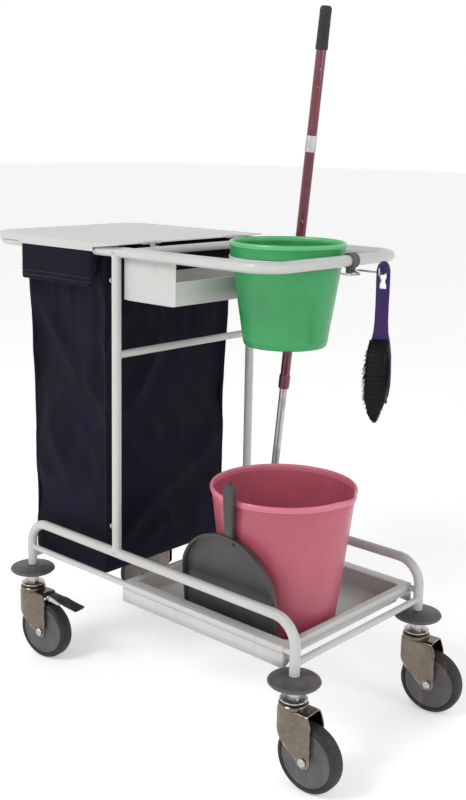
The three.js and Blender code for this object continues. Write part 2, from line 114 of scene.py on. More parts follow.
class Skin:
    """The faces of one piece, gathered in millimetres from the floor under the cart's middle."""

    def __init__(self):
        self.points, self.faces, self.looks = [], [], []

    def loft(self, rings, wrap=False, caps=True, around=True, look=0, keep=None):
        """Faces from each ring to the next. wrap joins the last to the first; keep(i, j) says which stay."""
        first, count = len(self.points), len(rings[0])
        for ring in rings:
            self.points.extend(np.array(ring, float))
        for i in range(len(rings) - (not wrap)):
            low, high = first + i * count, first + (i + 1) % len(rings) * count
            for j in range(count - (not around)):
                k = (j + 1) % count
                if keep is None or keep(i, j):
                    self.faces.append((low + j, low + k, high + k, high + j))
                    self.looks.append(look)
        if caps and not wrap:
            self.faces.append(tuple(range(first + count - 1, first - 1, -1)))
            last = first + (len(rings) - 1) * count
            self.faces.append(tuple(range(last, last + count)))
            self.looks += [look, look]

    def turned(self, profile, foot=(0, 0, 0), axis=UP, sides=64, start=0, **options):
        """A profile of (radius, height) turned about an axis that starts at foot."""
        axis = unit(np.array(axis, float))
        side = unit(np.cross(axis, ACROSS if abs(axis[1]) < 0.9 else ALONG))
        turn = start + np.linspace(0, 2 * math.pi, sides, endpoint=False)[:, None]
        ring = np.cos(turn) * side + np.sin(turn) * np.cross(axis, side)
        self.loft([np.array(foot) + axis * h + ring * r for r, h in profile], **options)

    def move(self, change):
        """Puts every point so far through change, which takes and gives an array of points."""
        self.points = list(change(np.array(self.points)))

    def piece(self, name, finishes, body, slot, *nodes, sharp=32):
        """The finished object, on its CAD body, standing for the CAD nodes named."""
        mesh = bpy.data.meshes.new(name)
        mesh.from_pydata((np.array(self.points) / 1000 + MIDDLE).tolist(), [], self.faces)
        mesh.polygons.foreach_set("material_index", self.looks)
        made = bmesh.new()
        made.from_mesh(mesh)
        bmesh.ops.remove_doubles(made, verts=made.verts, dist=2e-6)
        bmesh.ops.recalc_face_normals(made, faces=made.faces)
        made.to_mesh(mesh)
        made.free()
        mesh.polygons.foreach_set("use_smooth", [True] * len(mesh.polygons))
        mesh.set_sharp_from_angle(angle=math.radians(sharp))
        for finish in finishes:
            mesh.materials.append(finish)
        thing = bpy.data.objects.new(name, mesh)
        bpy.context.scene.collection.objects.link(thing)
        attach(thing, body)
        if nodes:
            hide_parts(*nodes)
        return thing


class Wire:
    """An output of a shader node. Sums on wires add Math nodes, and node() adds any other kind."""

    def __init__(self, tree, socket=None):
        self.tree = tree
        self.socket = socket

    def node(self, kind, settings=(), values=(), out=0):
        made = self.tree.nodes.new("ShaderNode" + kind)
        for key, value in dict(settings).items():
            if key == "stops":
                for stop, (place, colour) in zip(made.color_ramp.elements, value):
                    stop.position, stop.color = place, colour
            else:
                setattr(made, key, value)
        for key, value in dict(values).items():
            if isinstance(value, Wire):
                self.tree.links.new(value.socket, made.inputs[key])
            else:
                made.inputs[key].default_value = value
        return Wire(self.tree, made.outputs[out])

    def maths(self, operation, *values):
        return self.node("Math", {"operation": operation}, enumerate(values))

    def __add__(self, other):
        return self.maths("ADD", self, other)

    def __radd__(self, other):
        return self.maths("ADD", other, self)

    def __sub__(self, other):
        return self.maths("SUBTRACT", self, other)

    def __rsub__(self, other):
        return self.maths("SUBTRACT", other, self)

    def __mul__(self, other):
        return self.maths("MULTIPLY", self, other)

    def __rmul__(self, other):
        return self.maths("MULTIPLY", other, self)

    def other(self, out):
        """Another output of the node that this wire leaves."""
        return Wire(self.tree, self.socket.node.outputs[out])

    def sine(self):
        return self.maths("SINE", self)


def tint(red, green, blue):
    """A screen colour of 0 to 255 as the linear colour that a shader takes."""
    parts = [c / 255 for c in (red, green, blue)]
    linear = [c / 12.92 if c <= 0.04045 else ((c + 0.055) / 1.055) ** 2.4 for c in parts]
    return (*linear, 1.0)


def new_finish(name, **fixed):
    """A material, its shader, and the place on the piece. fixed goes on the shader's own sockets."""
    material = bpy.data.materials.new(name)
    material.use_nodes = True
    shader = material.node_tree.nodes["Principled BSDF"]
    for key, value in fixed.items():
        shader.inputs[key.replace("_", " ")].default_value = value
    return material, shader, Wire(material.node_tree).node("TexCoord", out="Object")


def link(shader, **wires):
    for key, wire in wires.items():
        wire.tree.links.new(wire.socket, shader.inputs[key.replace("_", " ")])


def cloud(place, scale, detail=3, stretch=None):
    """Noise from 0 to 1. stretch squeezes it along x, y and z."""
    if stretch:
        place = place.node("Mapping", {}, {"Vector": place, "Scale": stretch})
    return place.node("TexNoise", {}, {"Vector": place, "Scale": scale, "Detail": detail})


def step(value, low, high, start=0.0, end=1.0):
    """A smooth step from start to end as value goes from low to high."""
    ends = {"Value": value, "From Min": low, "From Max": high, "To Min": start, "To Max": end}
    return value.node("MapRange", {"interpolation_type": "SMOOTHSTEP"}, ends)


def dye(mask, under, over):
    """The colour under, turning to over where mask is 1."""
    return mask.node("Mix", {"data_type": "RGBA"}, {0: mask, 6: under, 7: over}, 2)


def relief(height, depth, strength=1.0):
    """A bump of the given depth in metres."""
    return height.node("Bump", {}, {"Strength": strength, "Distance": depth, "Height": height})


def powder_coat():
    coat, shader, place = new_finish("pale_grey_powder_coat", Coat_Roughness=0.22, Specular_IOR_Level=0.55)
    grime = step(cloud(place, 5.5, 5), 0.42, 0.75) * step(cloud(place, 60, 4), 0.3, 0.7)
    chips = step(cloud(place, 210, 2), 0.735, 0.75) * step(cloud(place, 9), 0.5, 0.6)
    colour = dye(grime * 0.5, tint(188, 188, 186), tint(164, 162, 158))
    colour = dye(chips * 0.8, colour, tint(112, 106, 100))
    peel = cloud(place, 950, 1) + cloud(place, 260, 2) * 0.8 - chips * 2.0
    link(
        shader,
        Base_Color=colour,
        Roughness=0.33 + cloud(place, 40) * 0.16 + chips * 0.2,
        Metallic=chips * 0.6,
        Coat_Weight=0.35 - grime * 0.25,
        Normal=relief(peel, 0.00012, 0.55),
    )
    return coat


STEEL_PAINT = powder_coat()
RAIL_R = (RAIL_HIGH[1] - RAIL_LOW[1]) / 2
RAIL_BEND, BEND_STEPS = 60, 14
FOOT_COLLAR = [(7.6, -0.9), (8.4, -0.5), (8.4, 6)]
END_X = (RAIL_HIGH[0] - RAIL_LOW[0]) / 2 - RAIL_R
for name in ("side_rail_near", "side_rail_far"):
    low, high = span(name)
    y, foot, top = (low[1] + high[1]) / 2, low[2], high[2] - RAIL_R
    turns = [(-END_X, y, foot), (-END_X, y, top), (END_X, y, top), (END_X, y, foot)]
    rail = Skin()
    rail.loft(swept(rounded(turns, RAIL_BEND, BEND_STEPS), ACROSS, RAIL_R))
    for end in (turns[0], turns[3]):
        rail.turned(FOOT_COLLAR, end, sides=TUBE_SIDES)
    rail.piece(f"{name}_tube", [STEEL_PAINT], "frame", "frame_paint", name)


# Straight bars. Low rails, low cross bars, crossbar, uprights and the bars across the top rail are
# lengths of tube with their ends cut to a saddle and welded on; the weld bead shows as a small flare.
def bead(angle, seed):
    """Width in millimetres of a hand-laid weld bead at an angle round the joint."""
    return 2.6 + 0.45 * math.sin(23 * angle + seed) + 0.3 * math.sin(7 * angle + 2 * seed)


def saddle_end(centre, way, tube_way, tube_r, bar_r, seed, sides=32):
    """Rings from a bar into its flare on another tube. centre is on that tube's axis, way leads off it."""
    third = np.cross(way, tube_way)
    rings = []
    for share in (1.0, 0.62, 0.34, 0.12, 0.0):
        ring = []
        for k in range(sides):
            angle = 2 * math.pi * k / sides
            wide = bead(angle, seed)
            out = bar_r + wide * (1 - math.sqrt(max(0.0, 1 - (1 - share) ** 2)))
            reach = min(out * abs(math.sin(angle)), tube_r * 0.98)
            rise = math.sqrt(tube_r**2 - reach**2) + wide * 1.15 * share - 0.15
            spot = tube_way * out * math.cos(angle) + third * out * math.sin(angle)
            ring.append(centre + spot + way * rise)
        rings.append(ring)
    inside = centre + way * tube_r * 0.55
    flat = [inside + 0.8 * bar_r * (tube_way * math.cos(a) + third * math.sin(a))
            for a in np.linspace(0, 2 * math.pi, sides, endpoint=False)]
    return [flat] + rings[::-1]


def facing(rings):
    """Rings made for one end of a bar, turned to carry on from the rings of its other end."""
    return [[ring[-k % len(ring)] for k in range(len(ring))] for ring in rings][::-1]


def welded_bar(skin, start, end, bar_r, tube_way, tube_r, seed):
    """A bar between the axes of two like tubes, flared on to both."""
    start, end = np.array(start, float), np.array(end, float)
    way = unit(end - start)
    far = saddle_end(end, -way, tube_way, tube_r, bar_r, seed + 1.3)
    skin.loft(saddle_end(start, way, tube_way, tube_r, bar_r, seed) + facing(far))


TOP_LOW, TOP_HIGH = span("top_rail_bag_end")
TOP_R = (TOP_HIGH[2] - TOP_LOW[2]) / 2
TOP_Z = (TOP_LOW[2] + TOP_HIGH[2]) / 2
SIDE_Y = FAR_RAIL_HIGH[1] - MIDDLE[1] * 1000 - RAIL_R
RAIL_Z = RAIL_HIGH[2] - RAIL_R
POST_R = RAIL_R - 0.4
BARS = {
    "low_rail_near": (0, UP, RAIL_R),
    "low_rail_far": (0, UP, RAIL_R),
    "low_cross_bucket_end": (1, UP, RAIL_R),
    "low_cross_bag_end": (1, UP, RAIL_R),
    "crossbar": (1, UP, RAIL_R),
    "bag_bar_end": (1, ALONG, TOP_R),
    "bag_bar_middle": (1, ALONG, TOP_R),
    "lid_hinge_bar": (1, ALONG, TOP_R),
}
for seed, (name, (axis, tube_way, tube_r)) in enumerate(BARS.items()):
    low, high = span(name)
    middle = (low + high) / 2
    start, end = middle.copy(), middle.copy()
    reach = END_X if axis == 0 else SIDE_Y
    start[axis], end[axis] = -reach, reach
    bar = Skin()
    welded_bar(bar, start, end, (high[2] - low[2]) / 2, tube_way, tube_r, seed)
    bar.piece(f"{name}_tube", [STEEL_PAINT], "frame", "frame_paint", name)

for seed, name in enumerate(("upright_near", "upright_far")):
    low, high = span(name)
    x, y = (low[0] + high[0]) / 2, (low[1] + high[1]) / 2
    post = Skin()
    foot = saddle_end(np.array([x, y, RAIL_Z]), UP, ALONG, RAIL_R, POST_R, 5 + seed)
    top = saddle_end(np.array([x, y, TOP_Z]), -UP, ALONG, TOP_R, POST_R, 9 + seed)
    post.loft(foot + facing(top))
    post.piece(f"{name}_tube", [STEEL_PAINT], "frame", "frame_paint", name)


# Upright bolts. Zinc-plated hexagon screws with washers that stay in the near upright,
# one under the top rail and one above the side rail; the thread goes through the tube wall.
def worn_edges(place):
    """1 along sharp edges that get knocked, broken up by noise."""
    edge = step(place.node("NewGeometry", out="Pointiness"), 0.535, 0.6)
    return edge * step(cloud(place, 90), 0.45, 0.62)


def zinc_plate(name, pale, stained, bright):
    """Plated steel: faint stains, a fine bloom, drawn scratches and edges rubbed bright."""
    zinc, shader, place = new_finish(name, Metallic=1.0, Specular_IOR_Level=0.6)
    stain = step(cloud(place, 30, 3), 0.42, 0.75)
    bloom = step(cloud(place, 130, 4), 0.5, 0.8)
    colour = dye(stain * 0.35, pale, stained)
    colour = dye(bloom * 0.2, colour, bright)
    colour = dye(worn_edges(place) * 0.8, colour, bright)
    scratch = cloud(place, 160, 2, (1.0, 1.0, 0.12))
    link(
        shader,
        Base_Color=colour,
        Roughness=0.19 + stain * 0.08 + bloom * 0.07 + scratch * 0.05,
        Normal=relief(cloud(place, 420, 3) + scratch * 0.6, 0.00005, 0.4),
    )
    return zinc


ZINC = zinc_plate("zinc_plated_steel", tint(186, 184, 181), tint(158, 155, 150), tint(214, 212, 208))


def hexagon(skin, centre, way, wide, tall, look=0):
    """A six-sided head or nut with its corners turned off, standing on centre."""
    head = [(wide * 0.9, 0), (wide, 0.12 * tall), (wide, 0.8 * tall), (wide * 0.87, tall)]
    skin.turned(head, centre, way, sides=6, look=look)


WASHER = 1.1
for name in ("upright_bolt_upper", "upright_bolt_lower"):
    low, high = span(name)
    seat = np.array([high[0], (low[1] + high[1]) / 2, (low[2] + high[2]) / 2])
    bolt = Skin()
    bolt.turned([(6.4, -0.6), (6.8, -0.2), (6.8, 0.7), (6.4, WASHER)], seat, -ALONG, 32)
    hexagon(bolt, seat - ALONG * WASHER, -ALONG, 5.2, 4.6)
    bolt.turned([(3.2, 5.5), (3.2, 6.6), (2.7, 7.0)], seat, -ALONG, 20)
    bolt.piece(f"{name}_made", [ZINC], "frame", "zinc_steel", name)


# Top rail. Two bent tubes that form one loop round the top of the cart; their open ends
# meet over the uprights, where a rolled steel sleeve inside holds them in line.
LOOP_BEND, EASED = 55, 0.5
for name, side in (("top_rail_bag_end", -1), ("top_rail_bucket_end", 1)):
    low, high = span(name)
    end_x = low[0] + TOP_R if side < 0 else high[0] - TOP_R
    seam_x = high[0] if side < 0 else low[0]
    corners = ((seam_x, -SIDE_Y), (end_x, -SIDE_Y), (end_x, SIDE_Y), (seam_x, SIDE_Y))
    path = rounded([(x, y, TOP_Z) for x, y in corners], LOOP_BEND, BEND_STEPS)
    loop = Skin()
    first = hoop(path[0], ALONG * side, UP, TOP_R - EASED, TUBE_SIDES)
    last = hoop(path[-1], -ALONG * side, UP, TOP_R - EASED, TUBE_SIDES)
    loop.loft([first, *swept(path, UP, TOP_R)[1:-1], last])
    loop.piece(f"{name}_tube", [STEEL_PAINT], "frame", "frame_paint", name)


# Lid. Thin steel sheet over the laundry bag, round at the end corners, its long edges folded down
# over the rail. Powder coated; three-knuckle hinges join its inner edge to the bar beside it.
def frame_ring(x0, x1, y0, y1, z, corners, along=1, across=1, arc=5):
    """A level ring round a rectangle. corners holds the corner radius at the x0 end and at the x1 end."""
    ring = []
    left, right = corners
    turns = [(x1 - right, y0 + right, right), (x1 - right, y1 - right, right),
             (x0 + left, y1 - left, left), (x0 + left, y0 + left, left)]
    for k, (x, y, r) in enumerate(turns):
        for s in range(arc + 1):
            a = math.radians(-90 + 90 * k + 90 * s / arc)
            ring.append(np.array([x + r * math.cos(a), y + r * math.sin(a), z]))
        cx, cy, cr = turns[(k + 1) % 4]
        a = math.radians(90 * k)
        far = np.array([cx + cr * math.cos(a), cy + cr * math.sin(a), z])
        parts = along if k % 2 else across
        near = ring[-1]
        ring += [near + (far - near) * s / parts for s in range(1, parts)]
    return ring


LID_LOW, LID_HIGH = span("lid")
HINGE_LOW, HINGE_HIGH = span("lid_hinge_bar")
SHEET, LIP, LIP_DROP = 1.6, 7.3, 5.4
LID_CORNER, HINGE_CORNER = 64, 3
FOLD_X0, FOLD_X1 = -374, -145
x0, x1, half_y, top = LID_LOW[0], LID_HIGH[0], LID_HIGH[1], LID_HIGH[2]


def lid_ring(inset, z):
    """A ring inset from the lid's outline, at a height from its top."""
    corners = max(LID_CORNER - inset, 8), max(HINGE_CORNER - inset, 1)
    return frame_ring(x0 + inset, x1 - inset, -half_y + inset, half_y - inset, top + z, corners, 8, 8, 10)


def plate(xa, xb, ya, yb, z):
    """One level face of a flat strip."""
    return [(xa, ya, z), (xb, ya, z), (xb, yb, z), (xa, yb, z)]


lid = Skin()
outline = [(1.5, -SHEET), (1.5, -LIP), (1.3, -LIP - 0.2), (0.2, -LIP - 0.2),
           (0, -LIP), (0, -1.6), (0.5, -0.5), (1.6, 0)]
rings = [lid_ring(inset, z) for inset, z in outline]
for ring, (_, z) in zip(rings, outline):
    for p in ring:
        beside_rail = float(np.clip((abs(p[1]) - 203) / 5, 0, 1)) * (p[0] < FOLD_X1)
        p[2] -= LIP_DROP * beside_rail * (z <= -LIP)
        if p[0] > x1 - 4:
            p[2] = max(p[2], top - 2.2)
crown = [(3, 0.03), (14, 0.1), (20, 0.3), (60, 0.5), (120, 0.55)]
rings += [lid_ring(inset, z) for inset, z in crown]
under = [lid_ring(inset, z - SHEET) for inset, z in crown[::-1]]
lid.loft(under + rings, caps=False)
lid.faces.append(tuple(range(len(rings[0]))))
last = len(lid.points)
lid.faces.append(tuple(range(last - len(rings[0]), last)))
lid.looks += [0, 0]
folded = ((LID_LOW[2], 0), (LID_LOW[2] + 6, 0), (top - 3.4, 0), (top - 1.3, -0.7), (top - 0.5, -2.4))
for side in (-1, 1):
    skirt = []
    for z, out in folded:
        y = side * (half_y - 0.05) + side * out
        skirt.append(plate(FOLD_X0, FOLD_X1, y, y - side * 1.4, z))
    lid.loft(skirt)
KNUCKLE_R, KNUCKLE_PITCH, HINGE_HALF = 3.1, 16.2, 24
HINGE_Y = (-120, 120)
knuckle = [(KNUCKLE_R - 0.4, 0), (KNUCKLE_R, 0.4), (KNUCKLE_R, 15.2), (KNUCKLE_R - 0.4, 15.6)]
for y in HINGE_Y:
    for k in (0, 2):
        lid.turned(knuckle, (x1 + 0.4, y - HINGE_HALF + k * KNUCKLE_PITCH, top - 1), ACROSS, 20)
    lid.loft([plate(x1 - 22, x1 - 0.5, y - HINGE_HALF, y + HINGE_HALF, top - z) for z in (2.9, 1.5)])
    for x in (x1 - 17, x1 - 8):
        for shift in (-16, 0, 16):
            lid.turned([(2.4, 0), (2.3, 0.5), (1.4, 1.0)], (x, y + shift, top + 0.05), UP, 14)
lid.piece("lid_sheet", [STEEL_PAINT], "lid", "frame_paint", "lid")

hinge = Skin()
middle_knuckle = [(KNUCKLE_R - 0.4, 0.6), (KNUCKLE_R, 1), (KNUCKLE_R, 14.6), (KNUCKLE_R - 0.4, 15)]
LEAF_HALF, LEAF_TALL = 7, 1.5
leaf = [(x1 + 1.5, top - 2.6, 0.5), (x1 + 4.6, HINGE_HIGH[2] - 0.4, 0),
        ((HINGE_LOW[0] + HINGE_HIGH[0]) / 2, HINGE_HIGH[2] + 0.2, 0)]
for y in HINGE_Y:
    hinge.turned(middle_knuckle, (x1 + 0.4, y - 7.8, top - 1), ACROSS, 20)
    hinge.turned([(1.3, -25), (1.6, -24.6), (1.6, 24.6), (1.3, 25)], (x1 + 0.4, y - 0.1, top - 1), ACROSS, 14)
    ends = [[(x, y - LEAF_HALF, z), (x, y + LEAF_HALF, z), (x + skew, y + LEAF_HALF, z + LEAF_TALL),
             (x + skew, y - LEAF_HALF, z + LEAF_TALL)] for x, z, skew in leaf]
    for pair in zip(ends, ends[1:]):
        hinge.loft(pair)
hinge.piece("lid_hinge_leaves", [STEEL_PAINT], "frame", "frame_paint")


# Laundry bag. Dark navy coated cloth sewn into an open box, its top hem turned out over the rail
# on all four sides; it hangs under its own weight, slack between the corners, with its base clear.
THREAD_M = 0.0011


def bag_cloth():
    cloth, shader, place = new_finish("navy_coated_cloth", Sheen_Weight=0.03, Sheen_Roughness=0.4,
                                      Sheen_Tint=(0.2, 0.2, 0.45, 1), Specular_IOR_Level=0.1)
    axes = place.node("SeparateXYZ", {}, {"Vector": place}, "X")
    warp = ((axes + axes.other("Y")) * (math.pi / THREAD_M)).sine()
    weft = (axes.other("Z") * (math.pi / THREAD_M)).sine()
    weave = (warp * weft) * 0.5 + 0.5
    # Random patches of faded cloth, tinted a paler blue that also stands in for the cloth's sheen as painted
    # sheen.
    fade_and_sheen = step(cloud(place, 7, 5), 0.4, 0.72)
    dust = step(cloud(place, 34, 6), 0.52, 0.8) * step(cloud(place, 4), 0.45, 0.65)
    colour = dye(fade_and_sheen * 0.7, tint(12, 11, 22), tint(20, 18, 42))
    colour = dye(dust * 0.18, colour, tint(40, 38, 54))
    colour = dye(weave * 0.12, colour, tint(22, 20, 40))
    link(
        shader,
        Base_Color=colour,
        Roughness=0.62 + fade_and_sheen * 0.12 - weave * 0.08,
        Normal=relief(weave + cloud(place, 480, 2) * 0.5, 0.0003, 0.6),
    )
    return cloth


NAVY_CLOTH = bag_cloth()
BAG_LOW, BAG_HIGH = span("laundry_bag")
BAR_R = (HINGE_HIGH[0] - HINGE_LOW[0]) / 2
BAG_X0 = span("bag_bar_end")[1][0] + 0.5
BAG_X1 = span("bag_bar_middle")[0][0] - 0.5
BAG_Y = SIDE_Y - TOP_R - 0.5
BAG_FOOT = BAG_LOW[2] + 1.5
CLOTH_TOP = TOP_Z - 4
PITCH = 8
CORNER = 13
ALONG_PARTS = round((BAG_X1 - BAG_X0 - 2 * CORNER) / PITCH)
ACROSS_PARTS = round(2 * (BAG_Y - CORNER) / PITCH)
LONG_HEM_Z, END_HEM_Y, END_HEM_Z = 830, 165, 862
HEM_ROWS, TURN_ROWS, RIM_ROWS = 21, 10, 5
CLOTH = 1.1


def bag_ring(inset, z):
    corner = max(CORNER - inset * 0.6, 0.5)
    return frame_ring(BAG_X0 + inset, BAG_X1 - inset, -BAG_Y + inset, BAG_Y - inset, z, (corner, corner),
                      ALONG_PARTS, ACROSS_PARTS, 4)


def bag_body():
    """The hanging box: base rings from the middle out, then rings up the walls."""
    half = (BAG_X1 - BAG_X0) / 2
    insets = [half - 0.6 - (half - 4) * k / 15 for k in range(15)]
    rings = [bag_ring(inset, BAG_FOOT) for inset in insets]
    rings += [bag_ring(inset, BAG_FOOT + z) for inset, z in ((2.6, 0.4), (0.9, 1.8), (0, 5))]
    rows = round((CLOTH_TOP - BAG_FOOT - 5) / PITCH)
    rings += [bag_ring(0, BAG_FOOT + 5 + (CLOTH_TOP - BAG_FOOT - 5) * (k + 1) / rows) for k in range(rows)]
    return rings


def hem_rows(ring):
    """The turned-out hem: each column goes on over the tube beside it and down its outer face."""
    middle_x = (BAG_X0 + BAG_X1) / 2
    rows = []
    for k in range(HEM_ROWS):
        hanging = max(0, k - TURN_ROWS)
        row = []
        for x, y, z in ring:
            long_side = abs(abs(y) - BAG_Y) < 0.5 and FOLD_X0 - 5 < x < FOLD_X1 + 5
            tube = (TOP_R if long_side else BAR_R) + CLOTH
            sign = np.sign(y) if long_side else np.sign(x - middle_x)
            if not long_side and abs(y) > END_HEM_Y + 4:
                row.append((x, y, z + min(k, 8) * 1.2))
                continue
            hem = LONG_HEM_Z if long_side else END_HEM_Z
            turn = math.pi * min(k, TURN_ROWS) / TURN_ROWS
            out = tube * (1 - math.cos(turn)) + 0.4 * (hanging > 0)
            rise = (TOP_Z - CLOTH_TOP) * min(1, k / 2) + tube * 0.98 * math.sin(turn)
            fall = (TOP_Z - hem) * hanging / 10
            broad = noise.noise(Vector((x * 0.035, y * 0.035, k * 0.09)))
            fine = noise.noise(Vector((x * 0.11, y * 0.11, 7.3)))
            ripple = (0.25 + 0.05 * hanging) * (1 + broad + 0.5 * fine) * (hanging > 0)
            spot = np.array([x, y, CLOTH_TOP + rise - fall])
            spot[1 if long_side else 0] += sign * (out + ripple)
            row.append(tuple(spot))
        rows.append(row)
    return rows


SETTLING = 22


def hung(points, count):
    """The body's points after the cloth has settled, each kept near the sewn shape and off the rails."""
    mesh = bpy.data.meshes.new("bag_settling")
    rows = len(points) // count
    faces = []
    for i in range(rows - 1):
        low, high = i * count, (i + 1) * count
        faces += [(low + j, low + (j + 1) % count, high + (j + 1) % count, high + j) for j in range(count)]
    start = np.array(points)
    nudge = np.array([[noise.noise(Vector(p) * 0.011 + Vector((k * 9, 0, 0))) for k in range(2)]
                      for p in start])
    loose = np.clip((CLOTH_TOP - start[:, 2]) / 90, 0, 1)
    started = start.copy()
    started[:, :2] += nudge * (2.4 * loose)[:, None]
    mesh.from_pydata((started / 1000).tolist(), [], faces)
    thing = bpy.data.objects.new("bag_settling", mesh)
    bpy.context.scene.collection.objects.link(thing)
    held = thing.vertex_groups.new(name="held")
    for i, p in enumerate(start):
        held.add([i], float(np.clip(1 - (CLOTH_TOP - p[2]) / 24, 0, 1)), "REPLACE")
    cloth = thing.modifiers.new("cloth", "CLOTH").settings
    cloth.quality, cloth.mass, cloth.air_damping = 5, 0.25, 3
    cloth.tension_stiffness = cloth.compression_stiffness = 18
    cloth.shear_stiffness, cloth.bending_stiffness = 6, 0.35
    cloth.vertex_group_mass, cloth.pin_stiffness = "held", 4
    cloth.shrink_min = cloth.shrink_max = -0.022
    scene = bpy.context.scene
    cache = thing.modifiers[0].point_cache
    cache.frame_start, cache.frame_end = 1, SETTLING
    for number in range(1, SETTLING + 1):
        scene.frame_set(number)
    shape = thing.evaluated_get(bpy.context.evaluated_depsgraph_get()).to_mesh()
    ended = np.array([v.co for v in shape.vertices]) * 1000
    scene.frame_set(1)
    bpy.data.objects.remove(thing)
    return start, ended


BROAD_FOLD, SMALL_FOLD = 9, 3


def soft_folds(points, outward):
    """Long slack folds that run aslant down the walls: broad hollows between narrow raised creases."""
    drawn = points.copy()
    for i, (x, y, z) in enumerate(points):
        slack = min(1, max(0, (CLOTH_TOP - 30 - z) / 130)) * min(1, max(0, (z - BAG_FOOT - 4) / 60))
        broad = abs(noise.noise(Vector((x * 0.0075 + z * 0.0042, y * 0.0075 - z * 0.0036, z * 0.0030 + 4))))
        small = abs(noise.noise(Vector((x * 0.017 - z * 0.006, y * 0.017 + z * 0.007, z * 0.008 + 11))))
        hollow = BROAD_FOLD * min(1, broad * 2.4) + SMALL_FOLD * min(1, small * 2)
        drawn[i, :2] -= outward[i] * hollow * slack
    return drawn


body = bag_body()
COUNT = len(body[0])
flat_points = np.array([p for ring in body for p in ring])
centre_x = (BAG_X0 + BAG_X1) / 2
off_x, off_y = flat_points[:, 0] - centre_x, flat_points[:, 1]
outward = np.stack([np.where(np.abs(off_x) > (BAG_X1 - BAG_X0) / 2 - 3, np.sign(off_x), 0),
                    np.where(np.abs(off_y) > BAG_Y - 3, np.sign(off_y), 0)], 1)
MOST_IN, MOST_LEVEL, MOST_DOWN = 9.0, 6, 5
start, ended = hung(flat_points, COUNT)
low_zone = np.clip((start[:, 2] - 325) / 90, 0, 1) * np.clip((CLOTH_TOP - start[:, 2]) / 70, 0, 1)
moved = ended - start
for axis in (0, 1):
    side = outward[:, axis]
    out = moved[:, axis] * side
    most = np.where(out > 0, 0.8 + 5.5 * low_zone, MOST_IN)
    capped = most * np.tanh(out / most)
    free = MOST_LEVEL * np.tanh(moved[:, axis] / MOST_LEVEL)
    moved[:, axis] = np.where(side != 0, capped * side, free)
moved[:, 2] = MOST_DOWN * np.tanh(moved[:, 2] / MOST_DOWN)
flat_points = start + moved
flat_points = soft_folds(flat_points, outward)
rings = list(flat_points.reshape(len(body), COUNT, 3))
hems = hem_rows(body[-1])


def on_hem(i, j):
    """Which faces of the hem rows are cloth: the corners are cut away above the rim."""
    x, y, _ = body[-1][j]
    nx, ny, _ = body[-1][(j + 1) % COUNT]
    mx, my = (x + nx) / 2, (y + ny) / 2
    if abs(abs(my) - BAG_Y) < 0.5:
        return FOLD_X0 < mx < FOLD_X1 or i < RIM_ROWS
    return abs(my) < END_HEM_Y or i < RIM_ROWS


bag = Skin()
bag.loft(rings + hems, caps=False, keep=lambda i, j: i < len(rings) or on_hem(i - len(rings), j))
bag_piece = bag.piece("laundry_bag_cloth", [NAVY_CLOTH], "frame", "bag_cloth", "laundry_bag", sharp=80)
thick = bag_piece.modifiers.new("cloth_thickness", "SOLIDIFY")
thick.thickness, thick.offset = 0.0011, -1
fine = bag_piece.modifiers.new("soft", "SUBSURF")
fine.levels = fine.render_levels = 1


# Bag stitching. Two rows of heavy charcoal thread along the bottom of each turned-out hem,
# lockstitched through both layers of cloth about four millimetres apart.
def thread():
    yarn, shader, place = new_finish("charcoal_thread", Roughness=0.8, Sheen_Weight=0.3)
    link(shader, Base_Color=dye(cloud(place, 900), tint(18, 17, 28), tint(30, 28, 42)))
    return yarn


stitches = Skin()
for row in (2.2, 3.4):
    i = int(HEM_ROWS - row)
    low_row, high_row, part = hems[i], hems[i + 1], HEM_ROWS - row - i
    for j in range(COUNT):
        if not on_hem(RIM_ROWS, j):
            continue
        a = np.array(low_row[j]) * (1 - part) + np.array(high_row[j]) * part
        k = (j + 1) % COUNT
        b = np.array(low_row[k]) * (1 - part) + np.array(high_row[k]) * part
        way = unit(b - a)
        out = np.cross(way, UP)
        for share in (0.05, 0.55):
            p = a + (b - a) * share + out * 0.1
            q = a + (b - a) * (share + 0.38) + out * 0.1
            stitches.loft([[p + (q - p) * t + r * (UP * math.cos(g) + out * math.sin(g))
                            for g in np.linspace(0, 2 * math.pi, 6, endpoint=False)]
                           for t, r in ((0, 0.2), (0.2, 0.45), (0.8, 0.45), (1, 0.2))])
stitches.piece("bag_stitching", [thread()], "frame", "bag_cloth")


# Small tray. Folded sheet steel under the top rail, its side panels as high as the rail and its end
# walls half as high with a rolled edge; the foot of each end wall is set in. Spot welded and painted.
TRAY_LOW, TRAY_HIGH = span("small_tray")
WALL_TOP = TRAY_LOW[2] + 45
CREASE = TRAY_LOW[2] + 19


def bent_sheet(profile, y0, y1, gauge):
    """A strip folded along a profile of (x, z) points, run from y0 to y1, as one skin with a thickness."""
    line = [np.array([x, 0, z]) for x, z in profile]
    back = []
    for i, p in enumerate(line):
        ways = [unit(line[k + 1] - line[k]) for k in (i - 1, i) if 0 <= k < len(line) - 1]
        mean = unit(sum(ways))
        back.append(p + np.cross(mean, ACROSS) * gauge / float(mean @ ways[0]))
    return [[np.array([p[0], y, p[2]]) for p in line + back[::-1]] for y in (y0, y0 + 0.4, y1 - 0.4, y1)]


